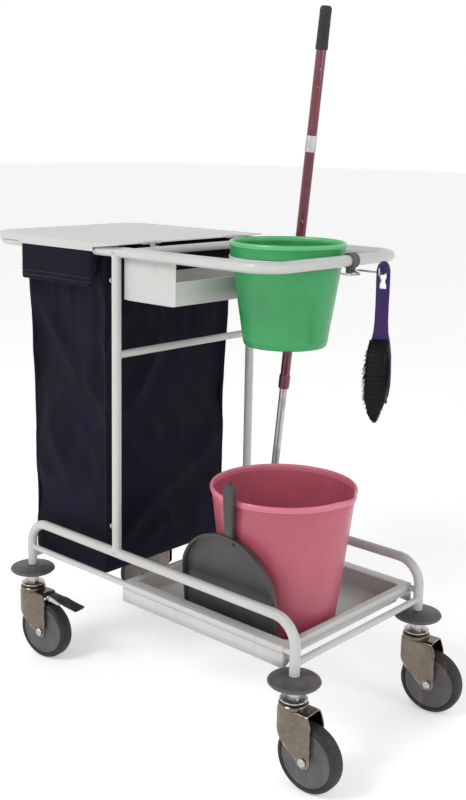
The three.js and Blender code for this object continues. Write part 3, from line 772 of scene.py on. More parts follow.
small = Skin()
tx0, tx1, ty, foot = TRAY_LOW[0], TRAY_HIGH[0], TRAY_HIGH[1], TRAY_LOW[2]
SET_IN, TRAY_GAUGE = 7.5, 1.5
trough = [(tx0, WALL_TOP), (tx0, CREASE), (tx0 + SET_IN, foot),
          (tx1 - SET_IN, foot), (tx1, CREASE), (tx1, WALL_TOP)]
small.loft(bent_sheet(rounded(trough, 3, 4), -ty + 1.6, ty - 1.6, TRAY_GAUGE))
bar_room = (HINGE_HIGH[0] + 1.2, HINGE_LOW[2] - 2.2)
for side in (-1, 1):
    panel = rounded([(tx0, foot + 1), (tx1, foot + 1), (tx1, TRAY_HIGH[2]), (bar_room[0], TRAY_HIGH[2]),
                     bar_room, (tx0, bar_room[1])], [3, 3, 4, 2, 2, 3], 4, closed=True)
    middle_x, middle_z = (tx0 + tx1) / 2, (foot + TRAY_HIGH[2]) / 2
    faces = []
    for depth, draw_in in ((0.0, 0.35), (0.35, 0), (1.15, 0), (1.5, 0.35)):
        kept, y = 1 - draw_in / 60, side * (ty - depth)
        faces.append([(middle_x + (x - middle_x) * kept, y, middle_z + (z - middle_z) * kept)
                      for x, z in panel])
    small.loft(faces)
    for x in (tx0 + 16, tx1 - 14):
        for z in (foot + 12, WALL_TOP - 10):
            small.turned([(2.8, -0.2), (2.4, 0.12), (1.2, 0.2)], (x, side * ty, z), ACROSS * side, 18)
for x in (tx0 + TRAY_GAUGE / 2, tx1 - TRAY_GAUGE / 2):
    small.loft(swept([np.array([x, y, WALL_TOP]) for y in (1.8 - ty, ty - 1.8)], UP, 1.9, 16))
small.piece("small_tray_sheet", [STEEL_PAINT], "frame", "frame_paint", "small_tray")


# Bucket ring. A flat steel hoop that the upper bucket hangs in by its rim, welded to an upright
# strip that is screwed to the small tray; a short tab under the strip takes the load.
RING_LOW, RING_HIGH = span("bucket_ring")
HOOP_R = RING_HIGH[1]
hoop_x = RING_HIGH[0] - HOOP_R
hoop_low = RING_HIGH[2] - 14
ring = Skin()
HOOP_GAUGE = 2.8
section = rounded([(HOOP_R - HOOP_GAUGE, hoop_low), (HOOP_R, hoop_low), (HOOP_R, RING_HIGH[2]),
                   (HOOP_R - HOOP_GAUGE, RING_HIGH[2])], 0.9, 3, closed=True)
ring.turned(section, (hoop_x, 0, 0), sides=120, wrap=True)
STRIP_HALF, STRIP_GAUGE = 15, 2
strip = rounded([(-STRIP_HALF, RING_LOW[2]), (STRIP_HALF, RING_LOW[2]), (STRIP_HALF, RING_HIGH[2]),
                 (-STRIP_HALF, RING_HIGH[2])], 4, 4, closed=True)
edge = [(RING_LOW[0] + x, draw_in) for x, draw_in in ((0.02, 0.4), (0.4, 0), (1.6, 0), (STRIP_GAUGE, 0.4))]
middle_z = (RING_LOW[2] + RING_HIGH[2]) / 2
ring.loft([[(x, y * (1 - d / STRIP_HALF), middle_z + (z - middle_z) * (1 - d / 46)) for y, z in strip]
           for x, d in edge])
for z in (RING_LOW[2] + 12, RING_LOW[2] + 34):
    seat = (RING_LOW[0] + STRIP_GAUGE, 0, z)
    ring.turned([(5.2, 0), (5.2, 0.7), (4.9, 0.9)], seat, ALONG, 24, look=1)
    ring.turned([(4.4, 0.8), (4.3, 1.9), (3.4, 2.9), (1.6, 3.3)], seat, ALONG, 24, look=1)
ring.piece("bucket_hoop", [STEEL_PAINT, ZINC], "frame", "frame_paint", "bucket_ring")


# Lower tray. A pan of folded sheet steel whose wide edges hook over the low rails; each long skirt
# has a pressed groove under its top edge, and the pan has soft corners and a shallow draining fold.
PAN_LOW, PAN_HIGH = span("lower_tray")
FLANGE = 27
WELL = (PAN_LOW[0] + 18, PAN_HIGH[0] - 15, PAN_HIGH[1] - FLANGE)


def pan_ring(z, out, corner):
    """out is how far beyond the well's wall, as a share of the flange on every side."""
    return frame_ring(WELL[0] + (PAN_LOW[0] - WELL[0]) * out, WELL[1] + (PAN_HIGH[0] - WELL[1]) * out,
                      -WELL[2] - FLANGE * out, WELL[2] + FLANGE * out, z, (corner, corner), 10, 10, 6)


def trimmed(ring, groove=0.0):
    """Skirt rings: cut higher at the bucket end, clear of the bar there, and pressed in along the groove."""
    made = []
    for x, y, z in ring:
        at_end = x > PAN_HIGH[0] - 3
        if at_end and abs(y) < 180:
            z = max(z, PAN_LOW[2] + 22)
        made.append(np.array([x - groove * at_end, y - math.copysign(groove, y) * (abs(y) > 200), z]))
    return made


floor_z, rim_z = PAN_LOW[2] + 5, PAN_HIGH[2]
GROOVE = 2.2
pan = Skin()
skirt = [trimmed(pan_ring(z, 1.0, 5), groove) for z, groove in (
    (PAN_LOW[2], 0), (PAN_LOW[2] + 22.5, 0), (rim_z - 14.4, 0), (rim_z - 13.2, GROOVE), (rim_z - 11.2, GROOVE),
    (rim_z - 10.0, 0))]
skirt += [pan_ring(rim_z - 2.4, 1.0, 5), pan_ring(rim_z - 0.7, 0.975, 5), pan_ring(rim_z, 0.90, 5)]
deck = [pan_ring(rim_z, 0.12, 7), pan_ring(rim_z - 0.5, 0.04, 7), pan_ring(rim_z - 1.8, 0.0, 7),
        pan_ring(floor_z + 4, 0.0, 7)]
base = [frame_ring(WELL[0] + i, WELL[1] - i, -WELL[2] + i, WELL[2] - i, floor_z + z, (7, 7), 10, 10, 6)
        for i, z in ((0.8, 1.4), (2.6, 0.3), (6, 0), (26, 0.0), (30, -0.8), (34, -0.8))]
faces = skirt + deck + base
pan.loft(faces, caps=False)
pan.faces.append(tuple(range(len(pan.points) - len(base[0]), len(pan.points))))
pan.looks.append(0)
pan_piece = pan.piece("lower_tray_pan", [STEEL_PAINT], "frame", "frame_paint", "lower_tray")
gauge = pan_piece.modifiers.new("sheet_gauge", "SOLIDIFY")
gauge.thickness, gauge.offset = 0.0012, -1


# Casters. Four swivel casters: a pressed, zinc-plated fork turns on a ball race below a grey
# plastic bumper disc, and carries a wheel with a grey plastic centre and a black rubber tread.
def moulded(name, dark, pale, dust, rough, grain, **fixed):
    """Moulded plastic or rubber: fine grain, blotches, dust that settles in patches, and scuffed edges."""
    stuff, shader, place = new_finish(name, **fixed)
    blotch = cloud(place, 24, 4)
    settled = step(cloud(place, 45, 5), 0.46, 0.78) * step(cloud(place, 7), 0.4, 0.65)
    scuff = step(cloud(place, 95, 2, (1, 1, 0.15)), 0.64, 0.72)
    colour = dye(step(blotch, 0.3, 0.7), dark, pale)
    colour = dye(settled * 0.45, colour, dust)
    edges = worn_edges(place) * 0.5
    colour = dye(edges.maths("MAXIMUM", edges, scuff * 0.25), colour, dust)
    link(
        shader,
        Base_Color=colour,
        Roughness=rough + settled * 0.2 + scuff * 0.1 - blotch * 0.08,
        Normal=relief(cloud(place, grain, 2) + scuff * 0.3, 0.00015, 0.5),
    )
    return stuff


GREY_PLASTIC = moulded("dark_grey_nylon", tint(70, 67, 68), tint(84, 81, 82), tint(122, 118, 114), 0.5, 1400)
TREAD = moulded("black_tread_rubber", tint(28, 25, 26), tint(40, 36, 36), tint(92, 86, 80), 0.72, 700)
PEDAL_BLACK = moulded("black_pedal_plastic", tint(30, 29, 30), tint(44, 42, 42), tint(100, 96, 92), 0.55,
                      1200)
CASTERS = {
    "near_bag_end": (9, True),
    "near_bucket_end": (3, False),
    "far_bucket_end": (7, False),
    "far_bag_end": (210, True),
}
TRAIL, AXLE_Z = 38, 62.5
HUB = np.array([TRAIL, 0, AXLE_Z])
BROWN_ZINC = zinc_plate("brown_passivated_zinc", tint(120, 110, 99), tint(94, 84, 74), tint(190, 184, 176))


def bumper(skin):
    low, high = 189.3, 202.8
    profile = [(8.7, low + 1.5), (30, low + 1.5), (31, low), (45, low), (48, low + 3.6), (46.2, low + 7),
               (38, low + 10), (36.6, low + 9.6), (26, high - 1), (16, high), (8.7, high)]
    skin.turned(rounded(profile, 1.3, 3, closed=True), sides=96, wrap=True)


def swivel_head(skin):
    """The bolt up into the rail, its nut, the fixed upper race, and the rivet under the crown."""
    skin.turned(rounded([(3, 189), (8, 189), (8, 238), (6, 240)], 0.8, 2), sides=32)
    hexagon(skin, np.array([0, 0, 177.5]), UP, 14.5, 10.5)
    collar = [(12.5, 163.5), (12.5, 176.3), (12.0, 177.5), (9.5, 177.6), (9.5, 189)]
    skin.turned(rounded(collar, 0.6, 3), sides=48)
    race = [(6, 158.9), (21.5, 158.9), (25.2, 159.4), (25.2, 161.6), (22.5, 163.3), (12, 164), (6, 164)]
    skin.turned(rounded(race, 0.9, 3, closed=True), sides=72, wrap=True)
    skin.turned(rounded([(5, 134), (9.8, 134), (9.8, 137.3), (6, 138.4), (6, 160)], 0.9, 3), sides=32)


def fork(skin):
    """A pressed inverted U with rounded shoulders, tapering to the axle, under a domed ball-race crown."""
    crown = [(6.4, 146.5), (24, 146.5), (27, 148.6), (27, 153.2), (25.2, 155.2), (21.6, 156), (20.8, 158),
             (6.4, 158.4)]
    skin.turned(rounded(crown, 1.1, 3, closed=True), sides=80, wrap=True)
    seal = rounded([(21.6, 156.2), (24.6, 156.4), (24.6, 158.6), (21.6, 158.7)], 0.7, 2, closed=True)
    skin.turned(seal, sides=72, wrap=True, look=1)
    foot = rounded([(-25, 138), (-25, 98), (-12, 86), (22, 59), (29, 52), (38, 48.2), (47, 52), (51, 62),
                    (51, 112)], [0, 7, 20, 8, 7, 10, 7, 8, 0], 6)
    xs, zs = [p[0] for p in foot], [p[1] for p in foot]
    half, shoulder, gauge, leg = 22.0, 7.5, 2.5, 9
    stations = np.concatenate([np.linspace(-25, 24, 15), np.linspace(26, 50.9, 14)])
    layers = []
    for thick in (0.0, gauge):
        rows = []
        for x in stations:
            low = float(np.interp(x, xs, zs))
            front, back = max(0.0, (x - 43) / 8), max(0.0, (-15 - x) / 10)
            top = 150 - 1.5 * ((x + 25) / 76) - 20 * front**1.5 - 3 * back**2 - thick
            side, bend = half - 7.5 * max(0.0, (-2 - x) / 23) ** 2 - thick, shoulder - thick
            line = [(-side, low + (top - bend - low) * k / 7) for k in range(7)]
            line += [(-side + bend * (1 - math.cos(a)), top - bend + bend * math.sin(a))
                     for a in np.linspace(0, math.pi / 2, 6)]
            line += [(y, top) for y in np.linspace(-side + bend, side - bend, 7)[1:-1]]
            line += [(-y, z) for y, z in line[:13][::-1]]
            rows.append([np.array([x, y, z]) for y, z in line])
        layers.append(rows)
    outer, inner = layers
    count, end = len(outer[0]), len(stations)
    roof_end = next(i for i, x in enumerate(stations) if x > 42.5)
    for layer in layers:
        skin.loft(layer, caps=False, around=False,
                  keep=lambda i, j: i < roof_end or not leg <= j < count - leg - 1)
    edges = [[(0, j) for j in range(count)]]
    edges += [[(i, j) for i in range(end)] for j in (0, count - 1)]
    edges += [[(end - 1, j) for j in side] for side in (range(leg + 1), range(count - leg - 1, count))]
    edges += [[(i, j) for i in range(roof_end, end)] for j in (leg, count - leg - 1)]
    edges += [[(roof_end, j) for j in range(leg, count - leg)]]
    for edge in edges:
        skin.loft([[outer[i][j], inner[i][j]] for i, j in edge], caps=False, around=False)
    for side in (-1, 1):
        seat = HUB + ACROSS * side * (half - 0.4)
        skin.turned([(11.5, 0), (11.2, 0.7), (10.4, 1.0)], seat, ACROSS * side, 40)


def axle(skin):
    for side in (-1, 1):
        way = ACROSS * side
        seat = HUB + way * 22.6
        hexagon(skin, seat, way, 8.3, 4.4)
        skin.turned([(4.6, 4.2), (4.6, 5.0), (3.8, 5.6)], seat, way, 24)
    skin.turned([(4.9, -22.4), (4.9, 22.4)], HUB, ACROSS, 24)


def both_sides(half):
    """A wheel's whole profile from the (radius, distance from its middle) points of one side."""
    return [(r, -h) for r, h in half] + [(r, h) for r, h in half[::-1]]


def centre(skin):
    half = [(5.6, 18.6), (12.4, 18.6), (13.2, 17.6), (15, 15.4), (19, 14.2), (36, 13.0), (45, 13.6),
            (47.4, 14.6), (50.4, 14.6), (51.4, 13.4)]
    skin.turned(rounded(both_sides(half), 0.9, 3, closed=True), HUB, ACROSS, 112, wrap=True)
    for side in (-1, 1):
        for k in range(5):
            a = 2 * math.pi * k / 5 + 0.3
            spot = HUB + np.array([29 * math.cos(a), 13.35 * side, 29 * math.sin(a)])
            skin.turned([(2.6, -0.4), (2.4, 0.2), (1.6, 0.45)], spot, ACROSS * side, 14)


def tread(skin):
    half = [(51.8, 13.6), (52.6, 14.9), (55, 15.9), (58, 15.2), (60.8, 12.4), (62.2, 8), (62.5, 3)]
    skin.turned(rounded(both_sides(half), 1.2, 3, closed=True), HUB, ACROSS, 128, wrap=True)


def brake(skin):
    """A bent steel lever on its pin, under an arched plastic foot cover."""
    arch = rounded([(46, 137), (58, 143.4), (80, 140.2), (104, 134.6), (133, 130.2)], 22, 6)
    arch = [np.array([x, 0, z]) for x, z in arch]
    rows = []
    for i, p in enumerate(arch):
        share = i / (len(arch) - 1)
        wide = 10.5 + 5.3 * min(1, max(0, share - 0.25) * 2.2)
        thin = 3.4 * (1 - 0.45 * share)
        rim = rounded([(-wide, -thin), (wide, -thin), (wide, thin * 0.4), (wide - 4, thin), (-wide + 4, thin),
                       (-wide, thin * 0.4)], 1.6, 3, closed=True)
        way = unit(arch[min(i + 1, len(arch) - 1)] - arch[max(i - 1, 0)])
        lift = np.cross(way, ACROSS) * -1
        rows.append([p + ACROSS * y + lift * z for y, z in rim])
    nose = [[arch[-1] + ALONG * 1.4 + (q - arch[-1]) * 0.8 for q in rows[-1]]]
    skin.loft(rows + nose)
    for k in range(6):
        spot = arch[-9 + k]
        skin.loft([[spot + ACROSS * y + ALONG * x + UP * (2.6 - k * 0.12 + z) for x, z in
                    ((-0.8, -0.8), (0.8, -0.8), (0.5, 0.5), (-0.5, 0.5))] for y in (-9, 9)])
    for side in (-1, 1):
        cheek = rounded([(44, 133), (52, 145), (66, 143.5), (84, 137), (92, 131), (80, 131.5), (60, 134.5),
                         (50, 130.5)], 3, 3, closed=True)
        skin.loft([[np.array([x, side * (11.2 + d), z]) for x, z in cheek] for d in (0, 1.6)], look=1)
    skin.turned([(2.6, -19.2), (3, -18.8), (3, 18.8), (2.6, 19.2)], (50, 0, 139), ACROSS, 20, look=1)


for tag, (heading, braked) in CASTERS.items():
    low, high = span(f"{tag}_bumper_disc")
    foot = np.array([(low[0] + high[0]) / 2, (low[1] + high[1]) / 2, 0])
    cos, sin = math.cos(math.radians(heading)), math.sin(math.radians(heading))
    turn = np.array([[cos, -sin, 0], [sin, cos, 0], [0, 0, 1]])
    parts = [
        (bumper, "bumper_disc", [GREY_PLASTIC], "frame", "grey_plastic"),
        (swivel_head, "caster_stem", [ZINC], "frame", "zinc_steel"),
        (fork, "caster_fork", [BROWN_ZINC, PEDAL_BLACK], f"{tag}_swivel", "zinc_steel"),
        (axle, "wheel_axle", [ZINC], f"{tag}_swivel", "zinc_steel"),
        (centre, "wheel_core", [GREY_PLASTIC], f"{tag}_wheel", "grey_plastic"),
        (tread, "wheel_tyre", [TREAD], f"{tag}_wheel", "tread_rubber"),
    ]
    if braked:
        parts.append((brake, "brake_pedal", [PEDAL_BLACK, ZINC], f"{tag}_pedal", "pedal_plastic"))
    for shape, part, finishes, body, slot in parts:
        skin = Skin()
        shape(skin)
        skin.move(lambda points: points @ turn.T + foot)
        skin.piece(f"{tag}_{part}_made", finishes, body, slot, f"{tag}_{part}")


# Upper bucket. Green polypropylene bucket, injection moulded, with a deep turned-down rim that
# rests on the hoop; stacking ribs stand inside the rim and a foot ring runs round the base.
def bucket_plastic(name, rim_z, deep, body, bright):
    """Glossy moulded polypropylene, a little milky, finely scratched and rubbed paler in places, with a painted
    highlight that makes everything above the rim line paler.
    """
    stuff, shader, place = new_finish(name, Specular_IOR_Level=0.45, Subsurface_Weight=0.12,
                                      Subsurface_Radius=(0.02, 0.012, 0.01))
    scratch = step(cloud(place, 130, 3, (1, 1, 0.08)), 0.6, 0.8)
    rub = step(cloud(place, 16, 5), 0.45, 0.75)
    colour = dye(step(cloud(place, 5, 3), 0.3, 0.7), deep, body)
    colour = dye(rub * 0.1, colour, bright)
    high = place.node("SeparateXYZ", {}, {"Vector": place}, "Z")
    # Painted highlight: the rim, everything above rim_z, is painted in the paler colour.
    painted_rim_highlight = step(high, rim_z / 1000 - 0.0005, rim_z / 1000 + 0.0005)
    colour = dye(painted_rim_highlight * 0.55 + worn_edges(place) * 0.3 + scratch * 0.08, colour, bright)
    turned_lines = (high * 2400).sine()
    link(
        shader,
        Base_Color=colour,
        Roughness=0.34 + rub * 0.12 + scratch * 0.12,
        Coat_Weight=0.18 - rub * 0.12,
        Normal=relief(cloud(place, 520, 2) + scratch * 0.5 + turned_lines * 0.12, 0.00014, 0.5),
    )
    return stuff


def bucket(skin, node, body_r, base_r, depth, ribs):
    """A tapered shell on the node's foot, with rolled rim, ribs under it and a foot ring; gives its axis."""
    low, high = span(node)
    rim_r = (high[1] - low[1]) / 2
    x, y, foot, top = low[0] + rim_r, (low[1] + high[1]) / 2, low[2], high[2]
    lip = top - depth
    wall = 2.2

    def side(z, out=0.0):
        return base_r + (body_r - base_r) * (z - foot) / (lip - foot) + out, z

    profile = [(base_r - 9, foot + 1.6), (base_r - 7, foot), (base_r - 2.5, foot), (base_r - 0.2, foot + 2.2)]
    profile += [side(foot + z, out) for z, out in ((9, 0), (9.8, 0.5), (11.6, 0.5), (12.4, 0))]
    profile += [side(foot + (lip - foot) * share) for share in (0.3, 0.5, 0.7)]
    profile += [side(lip - z, out) for z, out in ((9, 0), (8.2, 0.45), (7, 0.45), (6.2, 0))]
    profile += [(body_r, lip + 3), (body_r + 0.6, top - 5), (rim_r - 3.4, top - 5), (rim_r - 3.4, lip + 0.5),
                (rim_r - 2.6, lip), (rim_r - 1.8, lip + 0.6)]
    if depth > 15:
        profile += [(rim_r - 2.4, top - 9.6), (rim_r - 0.3, top - 8.4)]
    profile += [(rim_r + 0.1, max(top - 5, lip + 2)), (rim_r + 0.1, top - 3.4), (rim_r - 1.2, top - 0.6),
                (rim_r - 3, top), (body_r - wall + 1.2, top - 0.6), (body_r - wall, top - 5)]
    profile += [side(foot + (lip - foot) * share, -wall) for share in (1, 0.7, 0.4)]
    profile += [(base_r - wall + 0.4, foot + 12), (base_r - wall - 3.4, foot + wall + 1.6),
                (base_r - 14, foot + wall)]
    skin.turned(rounded(profile, 1.3, 2), (x, y, 0), sides=144)
    for k in range(ribs):
        a = 2 * math.pi * (k + 0.5) / ribs
        out, beside = np.array([math.cos(a), math.sin(a), 0]), np.array([-math.sin(a), math.cos(a), 0])
        corners = ((body_r - 0.4, -0.7), (rim_r - 2.6, -0.7), (rim_r - 2.6, 0.7), (body_r - 0.4, 0.7))
        skin.loft([[np.array([x, y, z]) + out * r + beside * s for r, s in corners]
                   for z in (lip + 1.2, top - 4.6)])
    return x, y


green = Skin()
bucket(green, "green_bucket", 104.4, 78.6, 27.6, 36)
# The first figure is the height above which the rim gets its painted highlight.
GREEN = bucket_plastic("green_polypropylene", span("green_bucket")[1][2] - 8.8,
                       tint(40, 136, 76), tint(48, 150, 86), tint(112, 205, 136))
green.piece("green_bucket_shell", [GREEN], "green_bucket", "green_plastic", "green_bucket", sharp=40)


# Lower bucket. A larger pink polypropylene bucket that stands in the pan, with a pouring spout
# drawn out of its rim towards the bucket end; the rim is rolled over and down.
pink = Skin()
low, high = span("pink_bucket")
pink_rim = (high[1] - low[1]) / 2
rim_top = high[2]
centre_x, centre_y = bucket(pink, "pink_bucket", 135, 104, 12, 0)
SPOUT, SPOUT_HALF, SPOUT_DEEP = math.radians(10), 0.3, 82
SPOUT_OUT = (high[0] - centre_x) / (pink_rim * math.cos(SPOUT)) - 1


def pour(points):
    """Draws the rim out into a spout, more and more towards its top."""
    x, y = points[:, 0] - centre_x, points[:, 1] - centre_y
    angle = np.arctan2(y, x) - SPOUT
    rise = np.clip((points[:, 2] - (rim_top - SPOUT_DEEP)) / SPOUT_DEEP, 0, 1)
    across = np.where(np.abs(angle) < SPOUT_HALF, np.cos(angle * math.pi / (2 * SPOUT_HALF)) ** 2, 0)
    swell = 1 + SPOUT_OUT * rise**1.6 * across
    moved = points.copy()
    moved[:, 0], moved[:, 1] = centre_x + x * swell, centre_y + y * swell
    return moved


pink.move(pour)
# The first figure is the height above which the rim gets its painted highlight.
PINK = bucket_plastic("pink_polypropylene", rim_top - 12,
                      tint(164, 76, 92), tint(176, 84, 100), tint(220, 128, 148))
pink.piece("pink_bucket_shell", [PINK], "pink_bucket", "pink_plastic", "pink_bucket", sharp=40)


# Dustpan. Charcoal moulded plastic, stood on its mouth against the lower bucket: a round-backed pan
# with a turned rim, a soft lip along the mouth and a channel handle moulded in one with it.
PAN_HALF, PAN_ARC, PAN_RISE, PAN_DEEP = 113, 72, 112, 14
SCOOP_WALL = 2.5
(side_cos, side_sin), (back_cos, back_sin) = [(math.cos(a), math.sin(a)) for a in map(math.radians, (6, 7.3))]
side_turn = np.array([[side_cos, 0, side_sin], [0, 1, 0], [-side_sin, 0, side_cos]])
back_turn = np.array([[1, 0, 0], [0, back_cos, -back_sin], [0, back_sin, back_cos]])
PAN_TURN = back_turn @ side_turn
PAN_FOOT = np.array([182.0, -157.7, 230.0])
scoop = Skin()


def pan_line(shrink):
    """From one corner of the mouth round the arched back to the other, as points on the pan's back."""
    half = PAN_HALF - shrink
    line = [np.array([half, 0, z]) for z in np.linspace(0, PAN_ARC - 8, 6)]
    line += [np.array([half * math.cos(a), 0, PAN_ARC + (PAN_RISE - shrink) * math.sin(a)])
             for a in np.linspace(0.06, math.pi - 0.06, 44)]
    return line + [np.array([-half, 0, z]) for z in np.linspace(PAN_ARC - 8, 0, 6)]


def wall_height(i, count):
    """The side walls slope down to the mouth at both corners."""
    share = min(i, count - 1 - i) / 9
    return PAN_DEEP * (0.35 + 0.65 * min(1, share))


def inner_rows(shares, raised=0.0):
    """The pan's outline drawn in towards the middle of its mouth."""
    return [[p * np.array([s, 1, s]) - ACROSS * raised for p in pan_line(0)] for s in shares]


count = len(pan_line(0))
walls = [wall_height(i, count) for i in range(count)]
back_rows = inner_rows((0.02, 0.3, 0.55, 0.75, 0.9, 0.955))
for share, shrink in ((0.1, 1.2), (0.3, 0.3), (0.6, 0.0), (1.0, 0.0)):
    back_rows.append([p - ACROSS * wall * share for p, wall in zip(pan_line(shrink), walls)])
face_rows = [[p - ACROSS * wall for p, wall in zip(pan_line(2.6), walls)]]
for share, shrink in ((0.6, 2.6), (0.3, 3.4)):
    face_rows.append([p - ACROSS * max(SCOOP_WALL, wall * share) for p, wall in zip(pan_line(shrink), walls)])
face_rows += inner_rows((0.93, 0.87, 0.7, 0.5, 0.3, 0.02), SCOOP_WALL)
scoop.loft(back_rows + face_rows, caps=False, around=False)
for end in (0, -1):
    strip = [row[end] for row in back_rows + face_rows]
    scoop.faces.append(tuple(range(len(scoop.points), len(scoop.points) + len(strip))))
    scoop.looks.append(0)
    scoop.points.extend(strip)
rim = [p - ACROSS * (wall - 0.6) for p, wall in zip(pan_line(-0.6), walls)]
ways = [unit(rim[min(i + 1, count - 1)] - rim[max(i - 1, 0)]) for i in range(count)]
scoop.loft([hoop(point, way, ACROSS, 2.1, 12) for point, way in zip(rim, ways)])
lip = rounded([(-3.4, -0.2), (-0.2, -0.2), (-0.2, 9), (-3.4, 6)], 1.2, 3, closed=True)
scoop.loft([[np.array([x, y, z]) for y, z in lip] for x in np.linspace(1 - PAN_HALF, PAN_HALF - 1, 12)], look=1)
handle = []
for z, wide, deep in ((168, 9, 5), (176, 9.6, 8.4), (186, 9.8, 11), (205, 10.2, 11.5), (230, 11, 12.4),
                      (255, 11.9, 13.2), (272, 12.2, 13.2), (284, 10.6, 12), (290, 7, 9.5), (292.2, 3, 6)):
    shoulder, face = -3 - deep * 0.8, -3.2 - deep * 0.84
    block = rounded([(-wide, -3), (-wide, shoulder), (-wide * 0.62, face), (wide * 0.62, face),
                     (wide, shoulder), (wide, -3)], 2.4, 3, closed=True)
    handle.append([np.array([x, y, z]) for x, y in block])
scoop.loft(handle)
scoop.move(lambda points: points @ PAN_TURN.T + PAN_FOOT)
CHARCOAL = moulded("charcoal_pan_plastic", tint(54, 51, 51), tint(64, 61, 60), tint(84, 81, 79), 0.46, 900,
                   Specular_IOR_Level=0.45)
SOFT_LIP = moulded("soft_pan_lip", tint(38, 37, 37), tint(50, 48, 48), tint(96, 92, 88), 0.7, 600)
scoop.piece("dustpan_scoop", [CHARCOAL, SOFT_LIP], "dustpan", "pan_plastic", "dustpan")


# Mop pole. A telescopic pole that leans through the loop: a bare aluminium tube in a black foot
# cap slides in a burgundy lacquered tube, with a ribbed collar, a plain silver band and a rubber grip.
foot_low, foot_high = span("mop_foot_cap")
MOP_WAY = unit(np.array([0.1022, 0, 0.99476]))
MOP_FOOT = np.array([10.0, (foot_low[1] + foot_high[1]) / 2, foot_low[2] - 1.1])


def pole(profile, sides=56, **options):
    skin = Skin()
    skin.turned(rounded(profile, 0.8, 3), MOP_FOOT, MOP_WAY, sides, **options)
    return skin


def raised_rings(skin, heights, low_r, high_r, slope, flat, radius):
    """Low rings round the pole at the given heights along it."""
    for h in heights:
        ring = [(low_r, h), (high_r, h + slope), (high_r, h + slope + flat), (low_r, h + 2 * slope + flat)]
        skin.turned(rounded(ring, radius, 2), MOP_FOOT, MOP_WAY, 48)


def tube_lacquer():
    lacquer, shader, place = new_finish("burgundy_pole_lacquer", Metallic=0.15, Coat_Weight=0.6,
                                        Coat_Roughness=0.12)
    scratch = step(cloud(place, 85, 3, (1, 1, 0.05)), 0.62, 0.74)
    chips = step(cloud(place, 170, 2), 0.72, 0.74)
    colour = dye(step(cloud(place, 12), 0.3, 0.7), tint(90, 22, 41), tint(102, 27, 48))
    colour = dye(scratch * 0.3, colour, tint(158, 78, 96))
    colour = dye(chips * 0.9, colour, tint(170, 168, 168))
    link(
        shader,
        Base_Color=colour,
        Roughness=0.3 + scratch * 0.2,
        Normal=relief(cloud(place, 700, 2) - chips, 0.00008, 0.4),
    )
    return lacquer


def bare_tube():
    metal, shader, place = new_finish("drawn_aluminium", Metallic=0.85)
    drawn = cloud(place, 260, 3, (1, 1, 0.02))
    dull = step(cloud(place, 30, 4), 0.4, 0.7)
    link(
        shader,
        Base_Color=dye(dull, tint(196, 196, 198), tint(168, 167, 168)),
        Roughness=0.32 + drawn * 0.14 + dull * 0.1,
        Normal=relief(drawn, 0.00005, 0.5),
    )
    return metal


BARE = bare_tube()
GRIP_RUBBER = moulded("black_grip_rubber", tint(22, 22, 23), tint(32, 31, 32), tint(80, 78, 76), 0.66, 900)
cap = pole([(6, 1.5), (10.4, 1.5), (11.2, 4), (13, 8), (13, 58), (12.4, 61), (10.4, 76), (10.2, 78),
            (8.5, 78), (8.5, 70)])
raised_rings(cap, (14, 22, 30, 38, 46), 12.8, 13.3, 0.8, 1.4, 0.4)
cap.piece("mop_foot_cap_made", [GRIP_RUBBER], "mop_lower", "black_grip", "mop_foot_cap")
inner_tube = pole([(6.8, 20.6), (8, 20.6), (8, 559), (7.4, 560)])
inner_tube.piece("mop_inner_tube", [BARE], "mop_lower", "pole_bare", "mop_lower_tube")
outer_tube = pole([(8.2, 400), (8.2, 398), (10, 398), (10, 1081.8), (9.0, 1081.8)])
collar = [(9.9, 397.6), (11.3, 398.4), (11.5, 402), (11.5, 424), (10.8, 426), (9.9, 428)]
outer_tube.turned(rounded(collar, 0.8, 3), MOP_FOOT, MOP_WAY, 56)
raised_rings(outer_tube, (405, 411, 417), 11.4, 11.8, 0.5, 1.5, 0.3)
outer_tube.piece("mop_outer_tube", [tube_lacquer()], "mop_upper", "pole_paint", "mop_upper_tube")
band = pole([(10.05, 882), (10.7, 882.3), (10.7, 913.7), (10.05, 914)])
raised_rings(band, (886, 909), 10.65, 10.95, 0.5, 0.6, 0.2)
band.piece("mop_band", [BARE], "mop_upper", "pole_bare", "mop_label_band")
grip = [(10.1, 1083), (10.1, 1076.2), (11.6, 1076), (12, 1077.5), (12, 1084)]
for k in range(13):
    h, crest, hollow = 1087 + k * 4.6, 12.0 - 0.03 * k, 11.2 - 0.03 * k
    grip += [(crest, h), (hollow, h + 1.1), (hollow, h + 2.0), (crest, h + 3.1)]
grip += [(11.5, 1150), (10.6, 1154), (8.2, 1156.6), (4, 1157)]
pole(grip).piece("mop_grip_made", [GRIP_RUBBER], "mop_upper", "black_grip", "mop_grip")


# Hook. A grey plastic clip snapped round the end of the top rail holds a bent steel wire,
# whose upturned tip carries the brush by its slot; a screw closes the clip from below.
clip_low, clip_high = span("hook_clip")
hook_y = (clip_low[1] + clip_high[1]) / 2
rail_x = span("top_rail_bucket_end")[1][0] - TOP_R
clip = Skin()
shell = [(11.4, -10), (13.4, -10), (14.5, -8.6), (14.5, -3), (13.9, -2.2), (13.9, 2.2), (14.5, 3),
         (14.5, 8.6), (13.4, 10), (11.4, 10)]
clip.turned(rounded(shell, 0.7, 3, closed=True), (rail_x, hook_y, TOP_Z), ACROSS, 72, wrap=True)
lug = rounded([(-6, -8), (6, -8), (6, 8), (-6, 8)], 2, 4, closed=True)
clip.loft([[np.array([rail_x + x * share, hook_y + y * share, z]) for x, y in lug]
           for z, share in ((clip_low[2], 0.9), (clip_low[2] + 0.8, 1), (TOP_Z - 12, 1), (TOP_Z - 11.5, 0.96))])
clip.turned([(3.4, -0.2), (3.2, 0.9), (2.2, 1.4)], (rail_x, hook_y, clip_low[2]), -UP, 20, look=1)
clip.piece("hook_clip_made", [GREY_PLASTIC, ZINC], "frame", "grey_plastic", "hook_clip")

